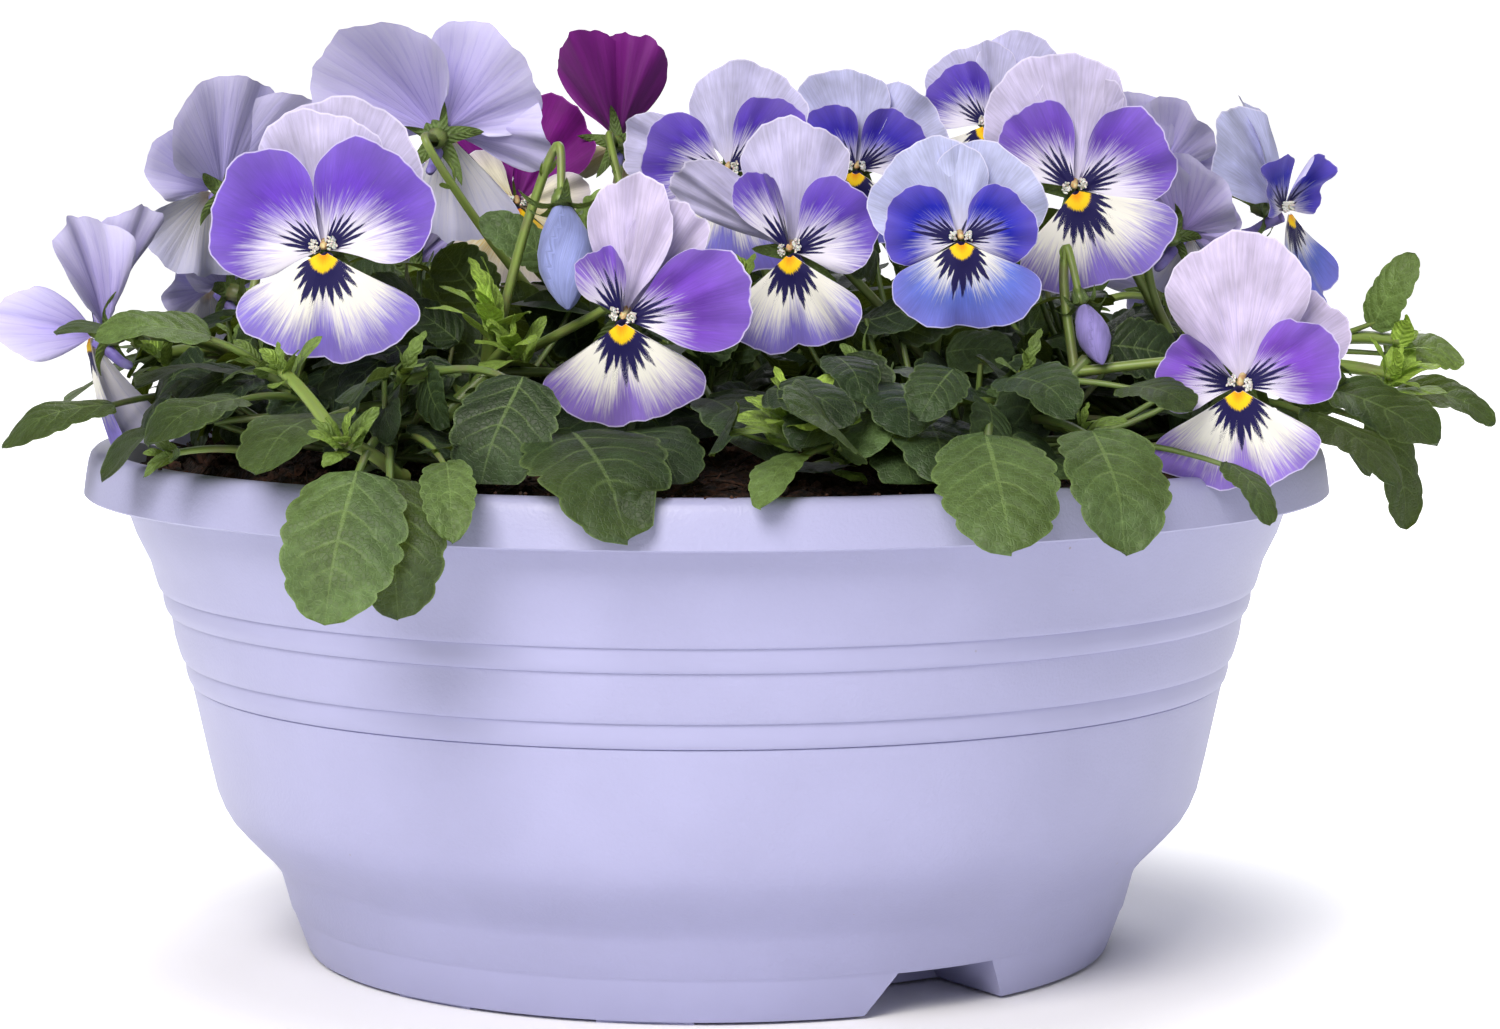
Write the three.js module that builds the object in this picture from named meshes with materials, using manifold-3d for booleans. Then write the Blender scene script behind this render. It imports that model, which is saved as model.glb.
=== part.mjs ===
// A bowl of horned violets: a turned plastic bowl with a hooded rim and two raised bands, potting soil,
// seven leafy plants rooted in it, and the blooms that stand on their stalks. Millimetres, +Z up.
// The origin is the middle of the bowl's underside, on the surface that it stands on, and -Y is the front.
import * as THREE from "three";
import { mergeVertices } from "three/addons/utils/BufferGeometryUtils.js";
import Module from "manifold-3d";

const wasm = await Module();
wasm.setup();

// ---- Driving dimensions -------------------------------------------------------------------------

const RIM_RADIUS = 115; // outside of the rim's hood
const BOWL_HEIGHT = 94.4;
const WALL = 1.6;
const BOWL_SIDES = 36; // facets round the bowl
const FLOOR = 2.2; // top of the bowl's floor
const PAD_HEIGHT = 0.6; // the pads lift the underside this far
const GATE_PAD_RADIUS = 12;
const BAND_STEP = 0.45; // each line of the two bands is a small step

const NOTCH = { turns: [32.3, 212.3], top: 8.2, wide: 30, narrow: 20, inner: 54 };
const DRAINS = { at: [63, 70], radius: 2.6 }; // two holes in the roof of each notch
const PAD_TURNS = [-105.1, -72.9, -40.7, -8.5, 74.9, 107.1, 139.3, 171.5];
const PAD = { from: 68, to: 73.6, width: 17 };

const GAP = 0.3; // clearance between touching solids
const SOIL_SIDES = 18;
const PETAL_THICKNESS = 0.6;
const LEAF_THICKNESS = 0.7;
const STALK_RADIUS = 0.9;
const STEM_RADIUS = 1.3;
const CROWN = { radius: 3.2, foot: 84, top: 99, hole: 4.2 };

const RADIANS = Math.PI / 180;

// ---- The plants, their blooms and their leaves --------------------------------------------------

// Where each plant is rooted, and the turn of its first side shoot. Turns count from -Y towards +X.
const PLANTS = [
  { name: "plant_front_left", at: [-56, -60], turn: -75 },
  { name: "plant_front_right", at: [46, -62], turn: 20 },
  { name: "plant_right", at: [86, -4], turn: 90 },
  { name: "plant_back_right", at: [46, 62], turn: 150 },
  { name: "plant_back_left", at: [-46, 62], turn: -150 },
  { name: "plant_left", at: [-86, 4], turn: -90 },
  { name: "plant_middle", at: [-4, -8], turn: 10 },
];

// Each bloom: its throat's place, the turn and lift of the way it faces, its roll, and its size.
const BLOOMS = [
  { name: "bloom_far_left", plant: 5, at: [-110, -30, 116], turn: -124, lift: 2, roll: 4, size: 1.0 },
  { name: "bloom_left_away", plant: 5, at: [-92, 4, 141], turn: -138, lift: 12, roll: -14, size: 1.05 },
  { name: "bloom_front_left", plant: 0, at: [-64.4, -74, 132.6], turn: -4, lift: 4, roll: -9, size: 1.14 },
  { name: "bloom_tall_away", plant: 6, at: [-47, -26, 152], turn: 168, lift: 14, roll: -8, size: 1.16 },
  { name: "bloom_magenta_front", plant: 6, at: [-36.6, 30, 137.2], turn: 6, lift: 2, roll: 4, size: 0.95 },
  { name: "bloom_magenta_away", plant: 6, at: [-17, 42, 149], turn: 172, lift: 2, roll: 6, size: 0.95 },
  { name: "bloom_front_low", plant: 0, at: [-14.1, -90, 121.7], turn: -12, lift: -8, roll: 14, size: 1.1 },
  { name: "bloom_middle_back", plant: 6, at: [3.6, -18, 144.6], turn: -8, lift: 6, roll: 0, size: 1.02 },
  { name: "bloom_middle_front", plant: 1, at: [14.2, -60, 131.7], turn: -16, lift: 0, roll: -16, size: 1.08 },
  { name: "bloom_behind_middle", plant: 6, at: [28, 12, 144.3], turn: -10, lift: 0, roll: 4, size: 0.9 },
  { name: "bloom_round_blue", plant: 1, at: [42.8, -72, 134.2], turn: 2, lift: 2, roll: -2, size: 0.97 },
  { name: "bloom_behind_right", plant: 3, at: [53.4, 24, 152.6], turn: -20, lift: 6, roll: 8, size: 0.88 },
  { name: "bloom_right_front", plant: 2, at: [64.6, -42, 141.9], turn: -10, lift: 2, roll: -12, size: 1.14 },
  { name: "bloom_right_pale", plant: 2, at: [88, 30, 144], turn: 150, lift: 16, roll: -6, size: 0.82 },
  { name: "bloom_right_away", plant: 2, at: [88, -8, 133.5], turn: 142, lift: 12, roll: -16, size: 0.86 },
  { name: "bloom_right_side", plant: 2, at: [108, 2, 137], turn: 60, lift: -4, roll: -4, size: 0.95 },
  { name: "bloom_front_right", plant: 1, at: [88.9, -81, 110], turn: -16, lift: -8, roll: 12, size: 1.1 },
  { name: "bloom_back_1", plant: 5, at: [-97, 47, 121], turn: -122, lift: 14, roll: 6, size: 1.05 },
  { name: "bloom_back_2", plant: 4, at: [-62, 84, 123], turn: -150, lift: 12, roll: -8, size: 1.1 },
  { name: "bloom_back_3", plant: 4, at: [-22, 100, 116], turn: 176, lift: 8, roll: 4, size: 1.05 },
  { name: "bloom_back_4", plant: 3, at: [17, 88, 126], turn: 170, lift: 18, roll: 10, size: 1.1 },
  { name: "bloom_back_5", plant: 3, at: [56, 90, 119], turn: 148, lift: 8, roll: -6, size: 1.02 },
  { name: "bloom_back_6", plant: 3, at: [93, 56, 119], turn: 122, lift: 10, roll: 8, size: 1.08 },
];

// Blooms that haven't opened: a furled spindle that nods from its stalk.
const FURLED = [
  { name: "furled_front", plant: 0, at: [-24.5, -66, 136], turn: 10, lift: -66, roll: 0, size: 1 },
  { name: "furled_right", plant: 1, at: [66, -56, 119], turn: 30, lift: -58, roll: 0, size: 0.62 },
  { name: "furled_back", plant: 4, at: [-84, 70, 112], turn: -130, lift: -50, roll: 0, size: 0.7 },
];

// Petals of one bloom of size 1, from the back forward. angle: clockwise from the top, seen from the front.
// fan: half the petal's spread in degrees. out, lean, curl: how far it stands in front of the throat.
const PETALS = [
  { name: "upper_right", angle: 25, length: 20.5, fan: 50, taper: 0.34, out: -2.8, lean: -0.09, curl: -0.08 },
  { name: "upper_left", angle: -25, length: 20.5, fan: 50, taper: 0.34, out: -1.9, lean: -0.05, curl: -0.08 },
  { name: "side_right", angle: 68, length: 17, fan: 42, taper: 0.3, out: -0.6, lean: 0.1, curl: -0.13 },
  { name: "side_left", angle: -68, length: 17, fan: 42, taper: 0.3, out: -0.6, lean: 0.1, curl: -0.13 },
  { name: "lower", angle: 180, length: 16, fan: 60, taper: 0.16, out: 0.5, lean: 0.12, curl: -0.12 },
];
const CLAW = 0.8; // a petal starts this far from the throat's middle
const THROAT = { ends: [-3.5, 1], radius: 2.8 };
const SPUR = { ends: [[-1.2, -1.2], [-5.8, -9]], radius: 0.95 }; // up and out of its two ends
const CALYX = { out: -4.0, reach: 8, notch: 1.5, lean: -0.3, depth: 3 };

// Leaves that are placed by hand: the blade's foot and tip, its width, and the turn and lift that it faces.
const HAND_LEAVES = [
  { plant: 0, from: [-56, -112, 99], to: [-61, -124, 76], width: 20, turn: -8, lift: 30 },
  { plant: 0, from: [-51, -109, 97.5], to: [-50, -121, 77], width: 16, turn: 6, lift: 26 },
  { plant: 0, from: [-42, -108, 100], to: [-40, -120, 89], width: 9, turn: 4, lift: 40 },
  { plant: 0, from: [-30, -97, 113], to: [-37, -106, 95.6], width: 17, turn: -14, lift: 16 },
  { plant: 0, from: [-22, -98, 104], to: [-13, -121, 92], width: 23, turn: 10, lift: 52 },
  { plant: 6, from: [-14, -84, 103], to: [-4, -105, 98.5], width: 16, turn: 14, lift: 54 },
  { plant: 6, from: [0, -78, 108], to: [12, -96, 99], width: 17, turn: 26, lift: 50 },
  { plant: 1, from: [15, -101, 100.5], to: [9, -120, 95.5], width: 8, turn: -20, lift: 46 },
  { plant: 1, from: [28, -86, 106], to: [24, -104, 103], width: 14, turn: -14, lift: 40 },
  { plant: 1, from: [35, -90, 107], to: [39, -108, 98.5], width: 15, turn: 16, lift: 34 },
  { plant: 1, from: [45, -104, 104], to: [48, -122, 87], width: 20, turn: 4, lift: 30 },
  { plant: 1, from: [63, -96, 104], to: [67, -114, 88], width: 18, turn: 16, lift: 30 },
  { plant: 1, from: [50, -86, 112], to: [60, -99, 109], width: 13, turn: 12, lift: 54 },
  { plant: 1, from: [70, -80, 110], to: [80, -92, 108], width: 11, turn: 20, lift: 58 },
  { plant: 1, from: [87, -82, 97.5], to: [94, -92, 89], width: 8, turn: 40, lift: 30 },
  { plant: 2, from: [106, -44, 103], to: [120, -58, 92], width: 17, turn: 50, lift: 34 },
  { plant: 2, from: [112, -34, 106], to: [129, -42, 97], width: 19, turn: 40, lift: 48 },
  { plant: 2, from: [120, -26, 101], to: [127, -30, 81], width: 13, turn: 46, lift: 10 },
  { plant: 2, from: [125, -20, 105], to: [143, -24, 101], width: 12, turn: 24, lift: 60 },
  { plant: 2, from: [124, -14, 111], to: [139, -12, 112], width: 12, turn: 10, lift: 58 },
  { plant: 2, from: [121, -18, 116], to: [127, -24, 130], width: 8, turn: -30, lift: 12 },
  { plant: 5, from: [-99, -42, 116], to: [-112, -55, 118], width: 11, turn: -30, lift: 60 },
  { plant: 5, from: [-105, -38, 104], to: [-124, -46, 99], width: 12, turn: -40, lift: 54 },
  { plant: 0, from: [-84, -70, 118], to: [-103, -74, 119], width: 12, turn: -24, lift: 62 },
  { plant: 0, from: [-78, -78, 108], to: [-92, -90, 103], width: 14, turn: -40, lift: 46 },
  { plant: 6, from: [-23, -52, 132], to: [-13, -58, 142], width: 11, turn: 8, lift: 30 },
  { plant: 6, from: [-27, -46, 129], to: [-39, -49, 138], width: 11, turn: -16, lift: 34 },
];

// The other leaves sit on two domed layers, each a sunflower lattice that is even on all sides. A leaf takes
// the first of a few tries at its place that crosses nothing.
const LEAF_LAYERS = [
  { count: 43, start: 0, spread: 116.5, height: 121, fall: 20, length: 25, slim: 0.68, seed: 11 },
  { count: 22, start: 77, spread: 115, height: 107, fall: 8, length: 23, slim: 0.76, seed: 23 },
];
const GOLDEN_TURN = 137.508;
const LEAF_TRIES = 10;
const LEAF_ROOM = 5; // between the sample points of two blades
const STALK_ROOM = 3.6; // and from a blade's to those of a stalk
const BLOOM_ROOM = { radius: 20, behind: 7, front: 14 }; // a blade stays out of this room round a bloom

// A blade's outline on one side, from foot to tip: the share of its length and of its half width.
const TEETH = [
  [0.28, 1],
  [0.46, 0.84],
  [0.7, 0.88],
];
const BLADE = { middle: 0.45, arch: 0.07, cup: 0.09, stalk: 0.75 };

// Leaves that reach over the rim, between these radii, lie at least this high.
const CLEAR = { inside: 100, outside: 116.5, height: 96 };

// ---- Small helpers ------------------------------------------------------------------------------

const vector = (x, y, z) => new THREE.Vector3(x, y, z);

// A point moved by any number of [direction, distance] pairs.
function moved(point, ...steps) {
  const result = point.clone();
  for (const [direction, distance] of steps) result.addScaledVector(direction, distance);
  return result;
}

// The unit vector that a turn from the front and a lift above the horizon point to.
function facing(turn, lift) {
  const level = Math.cos(lift * RADIANS);
  const [x, y] = [Math.sin(turn * RADIANS), -Math.cos(turn * RADIANS)];
  return vector(x * level, y * level, Math.sin(lift * RADIANS));
}

// A repeatable source of numbers from 0 to 1.
function seededRandom(seed) {
  let state = seed >>> 0;
  return () => {
    state = (Math.imul(state, 1664525) + 1013904223) >>> 0;
    return state / 4294967296;
  };
}

// A closed three.js geometry as a solid that can be joined and cut.
function solidFrom(geometry) {
  const bare = geometry.index ? geometry.toNonIndexed() : geometry.clone();
  const positions = new THREE.BufferGeometry().setAttribute("position", bare.getAttribute("position"));
  const merged = mergeVertices(positions, 1e-4);
  const index = merged.index.array;
  const triangles = [];
  for (let i = 0; i < index.length; i += 3) {
    const [a, b, c] = [index[i], index[i + 1], index[i + 2]];
    if (a !== b && b !== c && a !== c) triangles.push(a, b, c);
  }
  const vertProperties = new Float32Array(merged.attributes.position.array);
  const solidOf = (list) =>
    new wasm.Manifold(new wasm.Mesh({ numProp: 3, vertProperties, triVerts: new Uint32Array(list) }));
  const solid = solidOf(triangles);
  return solid.volume() > 0 ? solid : solidOf(triangles.reverse());
}

// A solid as a named mesh with its material. Scraps that a cut has left loose are dropped.
function meshFrom(name, solid, material) {
  const largest = solid.decompose().sort((a, b) => b.volume() - a.volume())[0];
  const { vertProperties, triVerts } = largest.getMesh();
  const geometry = new THREE.BufferGeometry();
  geometry.setAttribute("position", new THREE.BufferAttribute(new Float32Array(vertProperties), 3));
  geometry.setIndex(new THREE.BufferAttribute(new Uint32Array(triVerts), 1));
  geometry.computeVertexNormals();
  const mesh = new THREE.Mesh(geometry, material);
  mesh.name = name;
  return mesh;
}

const joined = (solids) => wasm.Manifold.union(solids);

// A closed profile of [radius, height] points turned about the Z axis.
function turnedSolid(profile, sides) {
  const points = profile.map(([radius, height]) => new THREE.Vector2(radius, height));
  return solidFrom(new THREE.LatheGeometry(points, sides).rotateX(Math.PI / 2));
}

// A regular polygon as a shape.
function polygon(radius, sides) {
  const shape = new THREE.Shape();
  for (let i = 0; i < sides; i += 1) {
    const angle = (i / sides) * 2 * Math.PI;
    const [x, y] = [radius * Math.cos(angle), radius * Math.sin(angle)];
    if (i === 0) shape.moveTo(x, y);
    else shape.lineTo(x, y);
  }
  return shape;
}

// A stalk of even thickness along a curve.
function stalkSolid(curve, radius, sides, steps) {
  return solidFrom(
    new THREE.ExtrudeGeometry(polygon(radius, sides), { steps, bevelEnabled: false, extrudePath: curve }),
  );
}

// A straight three-sided rod between two points, with one corner towards up.
function rodSolid(from, to, up, radius) {
  const right = up.clone().cross(to.clone().sub(from)).normalize();
  const points = [from, to].flatMap((end) =>
    [0, 120, 240].map((turn) =>
      moved(end, [up, radius * Math.cos(turn * RADIANS)], [right, radius * Math.sin(turn * RADIANS)]),
    ),
  );
  const index = [0, 2, 1, 3, 4, 5];
  for (let a = 0; a < 3; a += 1) {
    const b = (a + 1) % 3;
    index.push(a, b, b + 3, a, b + 3, a + 3);
  }
  return solidFrom(new THREE.BufferGeometry().setFromPoints(points).setIndex(index));
}

// An upright prism.
function prism(x, y, radius, sides, bottom, top) {
  const depth = top - bottom;
  const geometry = new THREE.ExtrudeGeometry(polygon(radius, sides), { depth, bevelEnabled: false });
  return solidFrom(geometry.translate(x, y, bottom));
}

// A thin blade: its points with their normals, its triangles, and its rim as a loop of point numbers.
// Both faces are split into the same triangles.
function bladeSolid(points, normals, triangles, rim, thickness) {
  const half = thickness / 2;
  const front = points.map((p, i) => moved(p, [normals[i], half]));
  const back = points.map((p, i) => moved(p, [normals[i], -half]));
  const count = points.length;
  const index = [];
  for (const [a, b, c] of triangles) index.push(a, b, c, count + a, count + c, count + b);
  rim.forEach((a, i) => {
    const b = rim[(i + 1) % rim.length];
    index.push(a, count + a, count + b, a, count + b, b);
  });
  return solidFrom(new THREE.BufferGeometry().setFromPoints([...front, ...back]).setIndex(index));
}

// ---- The bowl -----------------------------------------------------------------------------------

// The bowl's outside from the underside's edge to the foot of the rim: [radius, height].
const OUTSIDE = [
  [74.8, PAD_HEIGHT],
  [78, 8.6],
  [79.9, 15.3],
  [84.6, 21],
  [89, 25.8],
  [91.5, 31],
  [94.4, 44],
  [95.9, 51],
  [95.9 + BAND_STEP, 51.2],
  [97.3, 55.4],
  [97.3 + BAND_STEP, 55.6],
  [99.9, 64.2],
  [99.9 + BAND_STEP, 64.4],
  [101.3, 68.5],
  [101.3 + BAND_STEP, 68.7],
  [105.7, 79],
];
// The hooded rim: up behind the hood, down its inside, out and up over the top.
const RIM = [
  [109.3, 90.6],
  [113, 90.6],
  [113.4, 86],
  [RIM_RADIUS, 86],
  [114, 92.4],
  [112.6, BOWL_HEIGHT],
  [109.8, BOWL_HEIGHT],
];
// The bowl's inside from the rim down to the edge of its floor.
const INSIDE = [
  [107.7, 89],
  [99.9, 68],
  [92.8, 44],
  [89.9, 31],
  [83.2, 22],
  [78.2, 15.3],
  [73.6, FLOOR],
];

// A notch's outline across its radius, as a prism that runs outwards from a given radius.
function notchSolid(turn, grow, inner) {
  const { wide, narrow, top } = NOTCH;
  const shape = new THREE.Shape();
  shape.moveTo(-wide / 2 - grow, -3);
  shape.lineTo(wide / 2 + grow, -3);
  shape.lineTo(narrow / 2 + grow, top + grow);
  shape.lineTo(-narrow / 2 - grow, top + grow);
  const geometry = new THREE.ExtrudeGeometry(shape, { depth: 40, bevelEnabled: false });
  geometry.rotateX(Math.PI / 2).translate(0, -inner, 0).rotateZ(turn * RADIANS);
  return solidFrom(geometry);
}

function bowlSolid() {
  const outside = turnedSolid(
    [[0, 0], [GATE_PAD_RADIUS, 0], [GATE_PAD_RADIUS, PAD_HEIGHT], ...OUTSIDE, ...RIM, [0, BOWL_HEIGHT]],
    BOWL_SIDES,
  );
  const room = [[0, FLOOR], ...[...INSIDE].reverse(), [109.8, BOWL_HEIGHT + 1], [0, 96]];
  const hollow = turnedSolid(room, BOWL_SIDES);
  const housings = NOTCH.turns.map((turn) => notchSolid(turn, WALL, NOTCH.inner - WALL));
  const cuts = NOTCH.turns.map((turn) => notchSolid(turn, 0, NOTCH.inner));
  const drains = NOTCH.turns.flatMap((turn) =>
    DRAINS.at.map((radius) => {
      const at = facing(turn, 0).multiplyScalar(radius);
      return prism(at.x, at.y, DRAINS.radius, 6, NOTCH.top - 1, NOTCH.top + 3);
    }),
  );
  const pads = PAD_TURNS.map((turn) => {
    const pad = new THREE.BoxGeometry(PAD.width, PAD.to - PAD.from, PAD_HEIGHT + 0.4);
    pad.translate(0, -(PAD.from + PAD.to) / 2, (PAD_HEIGHT + 0.4) / 2).rotateZ(turn * RADIANS);
    return solidFrom(pad);
  });
  const inner = hollow.subtract(joined(housings));
  return joined([outside.subtract(inner), ...pads]).subtract(joined([...cuts, ...drains]));
}

// ---- The soil -----------------------------------------------------------------------------------

// Heights of the soil's mound, from its edge to its middle: [radius, height].
const MOUND = [
  [106.6, 90],
  [93, 94],
  [58, 95.6],
  [0, 96.4],
];

function soilSolid() {
  const sides = [...INSIDE].reverse().slice(0, -1);
  const wall = sides.map(([radius, height]) => [radius - GAP, Math.max(height, FLOOR + GAP)]);
  const soil = turnedSolid([[0, FLOOR + GAP], ...wall, ...MOUND], SOIL_SIDES);
  const housings = NOTCH.turns.map((turn) => notchSolid(turn, WALL + GAP, NOTCH.inner - WALL - GAP));
  const holes = PLANTS.map(({ at }) => prism(...at, CROWN.hole, 6, CROWN.foot - 1, BOWL_HEIGHT + 10));
  return soil.subtract(joined([...housings, ...holes]));
}

// What the plants keep clear of: the bowl and its soil with a gap round them, less the holes for the crowns.
function clearanceSolid() {
  const hood = RIM.slice(2).map(([radius, height]) => [radius + GAP, height + (height > 90 ? GAP : -GAP)]);
  const mound = MOUND.slice(1).map(([radius, height]) => [radius, height + GAP]);
  const holes = PLANTS.map(({ at }) => prism(...at, CROWN.hole - GAP, 6, CROWN.foot - 1, BOWL_HEIGHT + 10));
  const whole = turnedSolid([[0, 80], [108, 80], ...hood, [106.9, BOWL_HEIGHT], ...mound], BOWL_SIDES);
  return whole.subtract(joined(holes));
}

const clearance = clearanceSolid();

// ---- Blooms -------------------------------------------------------------------------------------

// The throat's place and the bloom's three directions: out of its face, up, and to a viewer's right.
function bloomFrame({ at, turn, lift, roll }) {
  const out = facing(turn, lift);
  const straightUp = facing(turn + 180, 90 - lift);
  const straightRight = straightUp.clone().cross(out);
  const [c, s] = [Math.cos(roll * RADIANS), Math.sin(roll * RADIANS)];
  const up = moved(straightUp.clone().multiplyScalar(c), [straightRight, s]);
  const right = moved(straightRight.clone().multiplyScalar(c), [straightUp, -s]);
  return { at: vector(...at), out, up, right };
}

// A point on a petal. u: 0 at the claw to 1 at the margin. v: -1 to 1 across the fan.
function petalPoint(frame, petal, size, u, v) {
  const spread = petal.fan * v * (0.4 + 0.6 * Math.sqrt(u));
  const angle = (petal.angle + spread) * RADIANS;
  const reach = petal.length * size * (1 - petal.taper * v * v - 0.08 * v ** 8);
  const radius = CLAW + u * (reach - CLAW);
  const out = petal.out + petal.lean * radius + (petal.curl * radius * radius) / (petal.length * size);
  return moved(
    frame.at,
    [frame.up, radius * Math.cos(angle)],
    [frame.right, radius * Math.sin(angle)],
    [frame.out, out],
  );
}

// Rows of a petal's points from claw to margin: the share of its length, and how many points the row has.
const PETAL_ROWS = [
  [0, 1],
  [0.6, 2],
  [1, 5],
];

function petalSolid(frame, petal, size) {
  const points = [];
  const rows = PETAL_ROWS.map(([u, count]) => {
    const row = [];
    for (let i = 0; i < count; i += 1) {
      row.push(points.length);
      points.push(petalPoint(frame, petal, size, u, count > 1 ? (2 * i) / (count - 1) - 1 : 0));
    }
    return row;
  });
  const triangles = [];
  for (let r = 0; r + 1 < rows.length; r += 1) {
    const [low, high] = [rows[r], rows[r + 1]];
    let [i, j] = [0, 0];
    while (i < low.length - 1 || j < high.length - 1) {
      const nextLow = (i + 0.5) / (low.length - 1);
      const nextHigh = (j + 0.5) / (high.length - 1);
      if (j === high.length - 1 || (i < low.length - 1 && nextLow < nextHigh)) {
        triangles.push([low[i], high[j], low[i + 1]]);
        i += 1;
      } else {
        triangles.push([low[i], high[j], high[j + 1]]);
        j += 1;
      }
    }
  }
  const [claw, middle, margin] = rows;
  const rim = [claw[0], middle[0], ...margin, middle[middle.length - 1]];
  const normals = points.map(() => frame.out);
  return bladeSolid(points, normals, triangles, rim, PETAL_THICKNESS);
}

function bloomSolid(bloom) {
  const frame = bloomFrame(bloom);
  const petals = PETALS.map((petal) => petalSolid(frame, petal, bloom.size));
  const ends = THROAT.ends.map((out) => moved(frame.at, [frame.out, out]));
  const spur = SPUR.ends.map(([up, out]) => moved(frame.at, [frame.up, up], [frame.out, out]));
  const throat = rodSolid(...ends, frame.up, THROAT.radius);
  return joined([...petals, throat, rodSolid(...spur, frame.up, SPUR.radius)]);
}

// A furled bloom: a spindle of rolled petals. Pairs: the distance in front of the calyx and the radius.
const SPINDLE = [
  [0, 1.9],
  [4.5, 4.1],
  [11, 4.6],
  [16.5, 2.2],
  [18, 0.9],
];

function furledSolid(bud) {
  const frame = bloomFrame(bud);
  const profile = SPINDLE.map(([out, radius]) => new THREE.Vector2(radius * bud.size, out * bud.size));
  const end = new THREE.Vector2(0, SPINDLE.at(-1)[0] * bud.size);
  const geometry = new THREE.LatheGeometry([new THREE.Vector2(0, 0), ...profile, end], 6);
  geometry.applyQuaternion(new THREE.Quaternion().setFromUnitVectors(vector(0, 1, 0), frame.out));
  const foot = moved(frame.at, [frame.out, THROAT.ends[0]]);
  return solidFrom(geometry.translate(foot.x, foot.y, foot.z));
}

// The calyx: a star of five pointed sepals on a short five-sided cup.
function calyxSolid(frame, size) {
  const centre = moved(frame.at, [frame.out, CALYX.out]);
  const ring = (turn, radius, out) => {
    const angle = turn * RADIANS;
    const [upwards, sideways] = [radius * Math.cos(angle), radius * Math.sin(angle)];
    return moved(centre, [frame.up, upwards], [frame.right, sideways], [frame.out, out]);
  };
  const points = [centre];
  for (let i = 0; i < 5; i += 1) {
    points.push(ring(i * 72, CALYX.reach * size, CALYX.lean * CALYX.reach * size));
    points.push(ring(i * 72 + 36, CALYX.notch, 0));
  }
  for (let i = 0; i < 5; i += 1) points.push(ring(i * 72, CALYX.notch, -CALYX.depth));
  const index = [11, 13, 12, 11, 14, 13, 11, 15, 14];
  for (let i = 0; i < 5; i += 1) {
    const [tip, notch, nextTip] = [1 + 2 * i, 2 + 2 * i, 1 + 2 * ((i + 1) % 5)];
    const [cup, nextCup] = [11 + i, 11 + ((i + 1) % 5)];
    index.push(0, tip, notch, 0, notch, nextTip);
    index.push(cup, notch, tip, cup, nextCup, notch, nextCup, nextTip, notch);
  }
  return solidFrom(new THREE.BufferGeometry().setFromPoints(points).setIndex(index));
}

// ---- Leaves and stems ---------------------------------------------------------------------------

// A leaf's foot, the ways along it, out of its upper face and across it, and its length.
function leafFrame({ from, to, turn, lift }) {
  const foot = vector(...from);
  const along = vector(...to).sub(foot);
  const length = along.length();
  along.normalize();
  const face = facing(turn, lift);
  const normal = moved(face, [along, -face.dot(along)]).normalize();
  return { foot, along, normal, side: along.clone().cross(normal), length };
}

// A point on a blade. a: share of its length. b: share of its half width, -1 to 1.
function leafPoint(frame, width, a, b) {
  const hump = BLADE.arch * frame.length * 4 * a * (1 - a) - BLADE.cup * width * b * b;
  return moved(
    frame.foot,
    [frame.along, a * frame.length],
    [frame.side, (b * width) / 2],
    [frame.normal, hump],
  );
}

// A blade with its stalk, which is a narrow strip that runs from a shoot to the blade's foot.
function leafSolid(leaf, start) {
  const frame = leafFrame(leaf);
  const foot = moved(frame.foot, [frame.along, 0.5]);
  const way = foot.clone().sub(start).normalize();
  const across = moved(frame.side, [way, -frame.side.dot(way)]).normalize();
  const points = [
    leafPoint(frame, leaf.width, BLADE.middle, 0),
    moved(foot, [frame.side, BLADE.stalk]),
    ...TEETH.map(([a, b]) => leafPoint(frame, leaf.width, a, b)),
    leafPoint(frame, leaf.width, 1, 0),
    ...[...TEETH].reverse().map(([a, b]) => leafPoint(frame, leaf.width, a, -b)),
    moved(foot, [frame.side, -BLADE.stalk]),
    moved(start, [across, -BLADE.stalk]),
    moved(start, [across, BLADE.stalk]),
  ];
  const rim = points.slice(1).map((_, i) => i + 1);
  const [left, startLeft, startRight] = rim.slice(-3);
  const blade = rim.slice(0, -2);
  const triangles = blade.map((a, i) => [0, a, blade[(i + 1) % blade.length]]);
  triangles.push([1, left, startLeft], [1, startLeft, startRight]);
  const normals = points.map(() => frame.normal);
  normals[startLeft] = across.clone().cross(way);
  normals[startRight] = normals[startLeft];
  return bladeSolid(points.map(clearOfBowl), normals, triangles, rim, LEAF_THICKNESS);
}

// A leaf's point, lifted where it would sink into the soil or the rim.
function clearOfBowl(point) {
  const radius = Math.hypot(point.x, point.y);
  if (radius < CLEAR.inside) return point;
  if (radius < CLEAR.outside) return point.clone().setZ(Math.max(point.z, CLEAR.height));
  return point;
}

// Points spread over a leaf's blade and along its stalk, which stand for them where room is measured.
function leafSamples(leaf) {
  const frame = leafFrame(leaf);
  const blade = [];
  for (const a of [0.05, 0.35, 0.65, 0.95]) {
    for (const b of [-0.8, 0, 0.8]) blade.push(clearOfBowl(leafPoint(frame, leaf.width, a, b)));
  }
  const start = stalkStart(frame.foot, SHOOT_CURVES[leaf.plant]);
  const stalk = [0.3, 0.5, 0.7, 0.9].map((t) => start.clone().lerp(frame.foot, t));
  return { blade, stalk };
}

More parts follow.
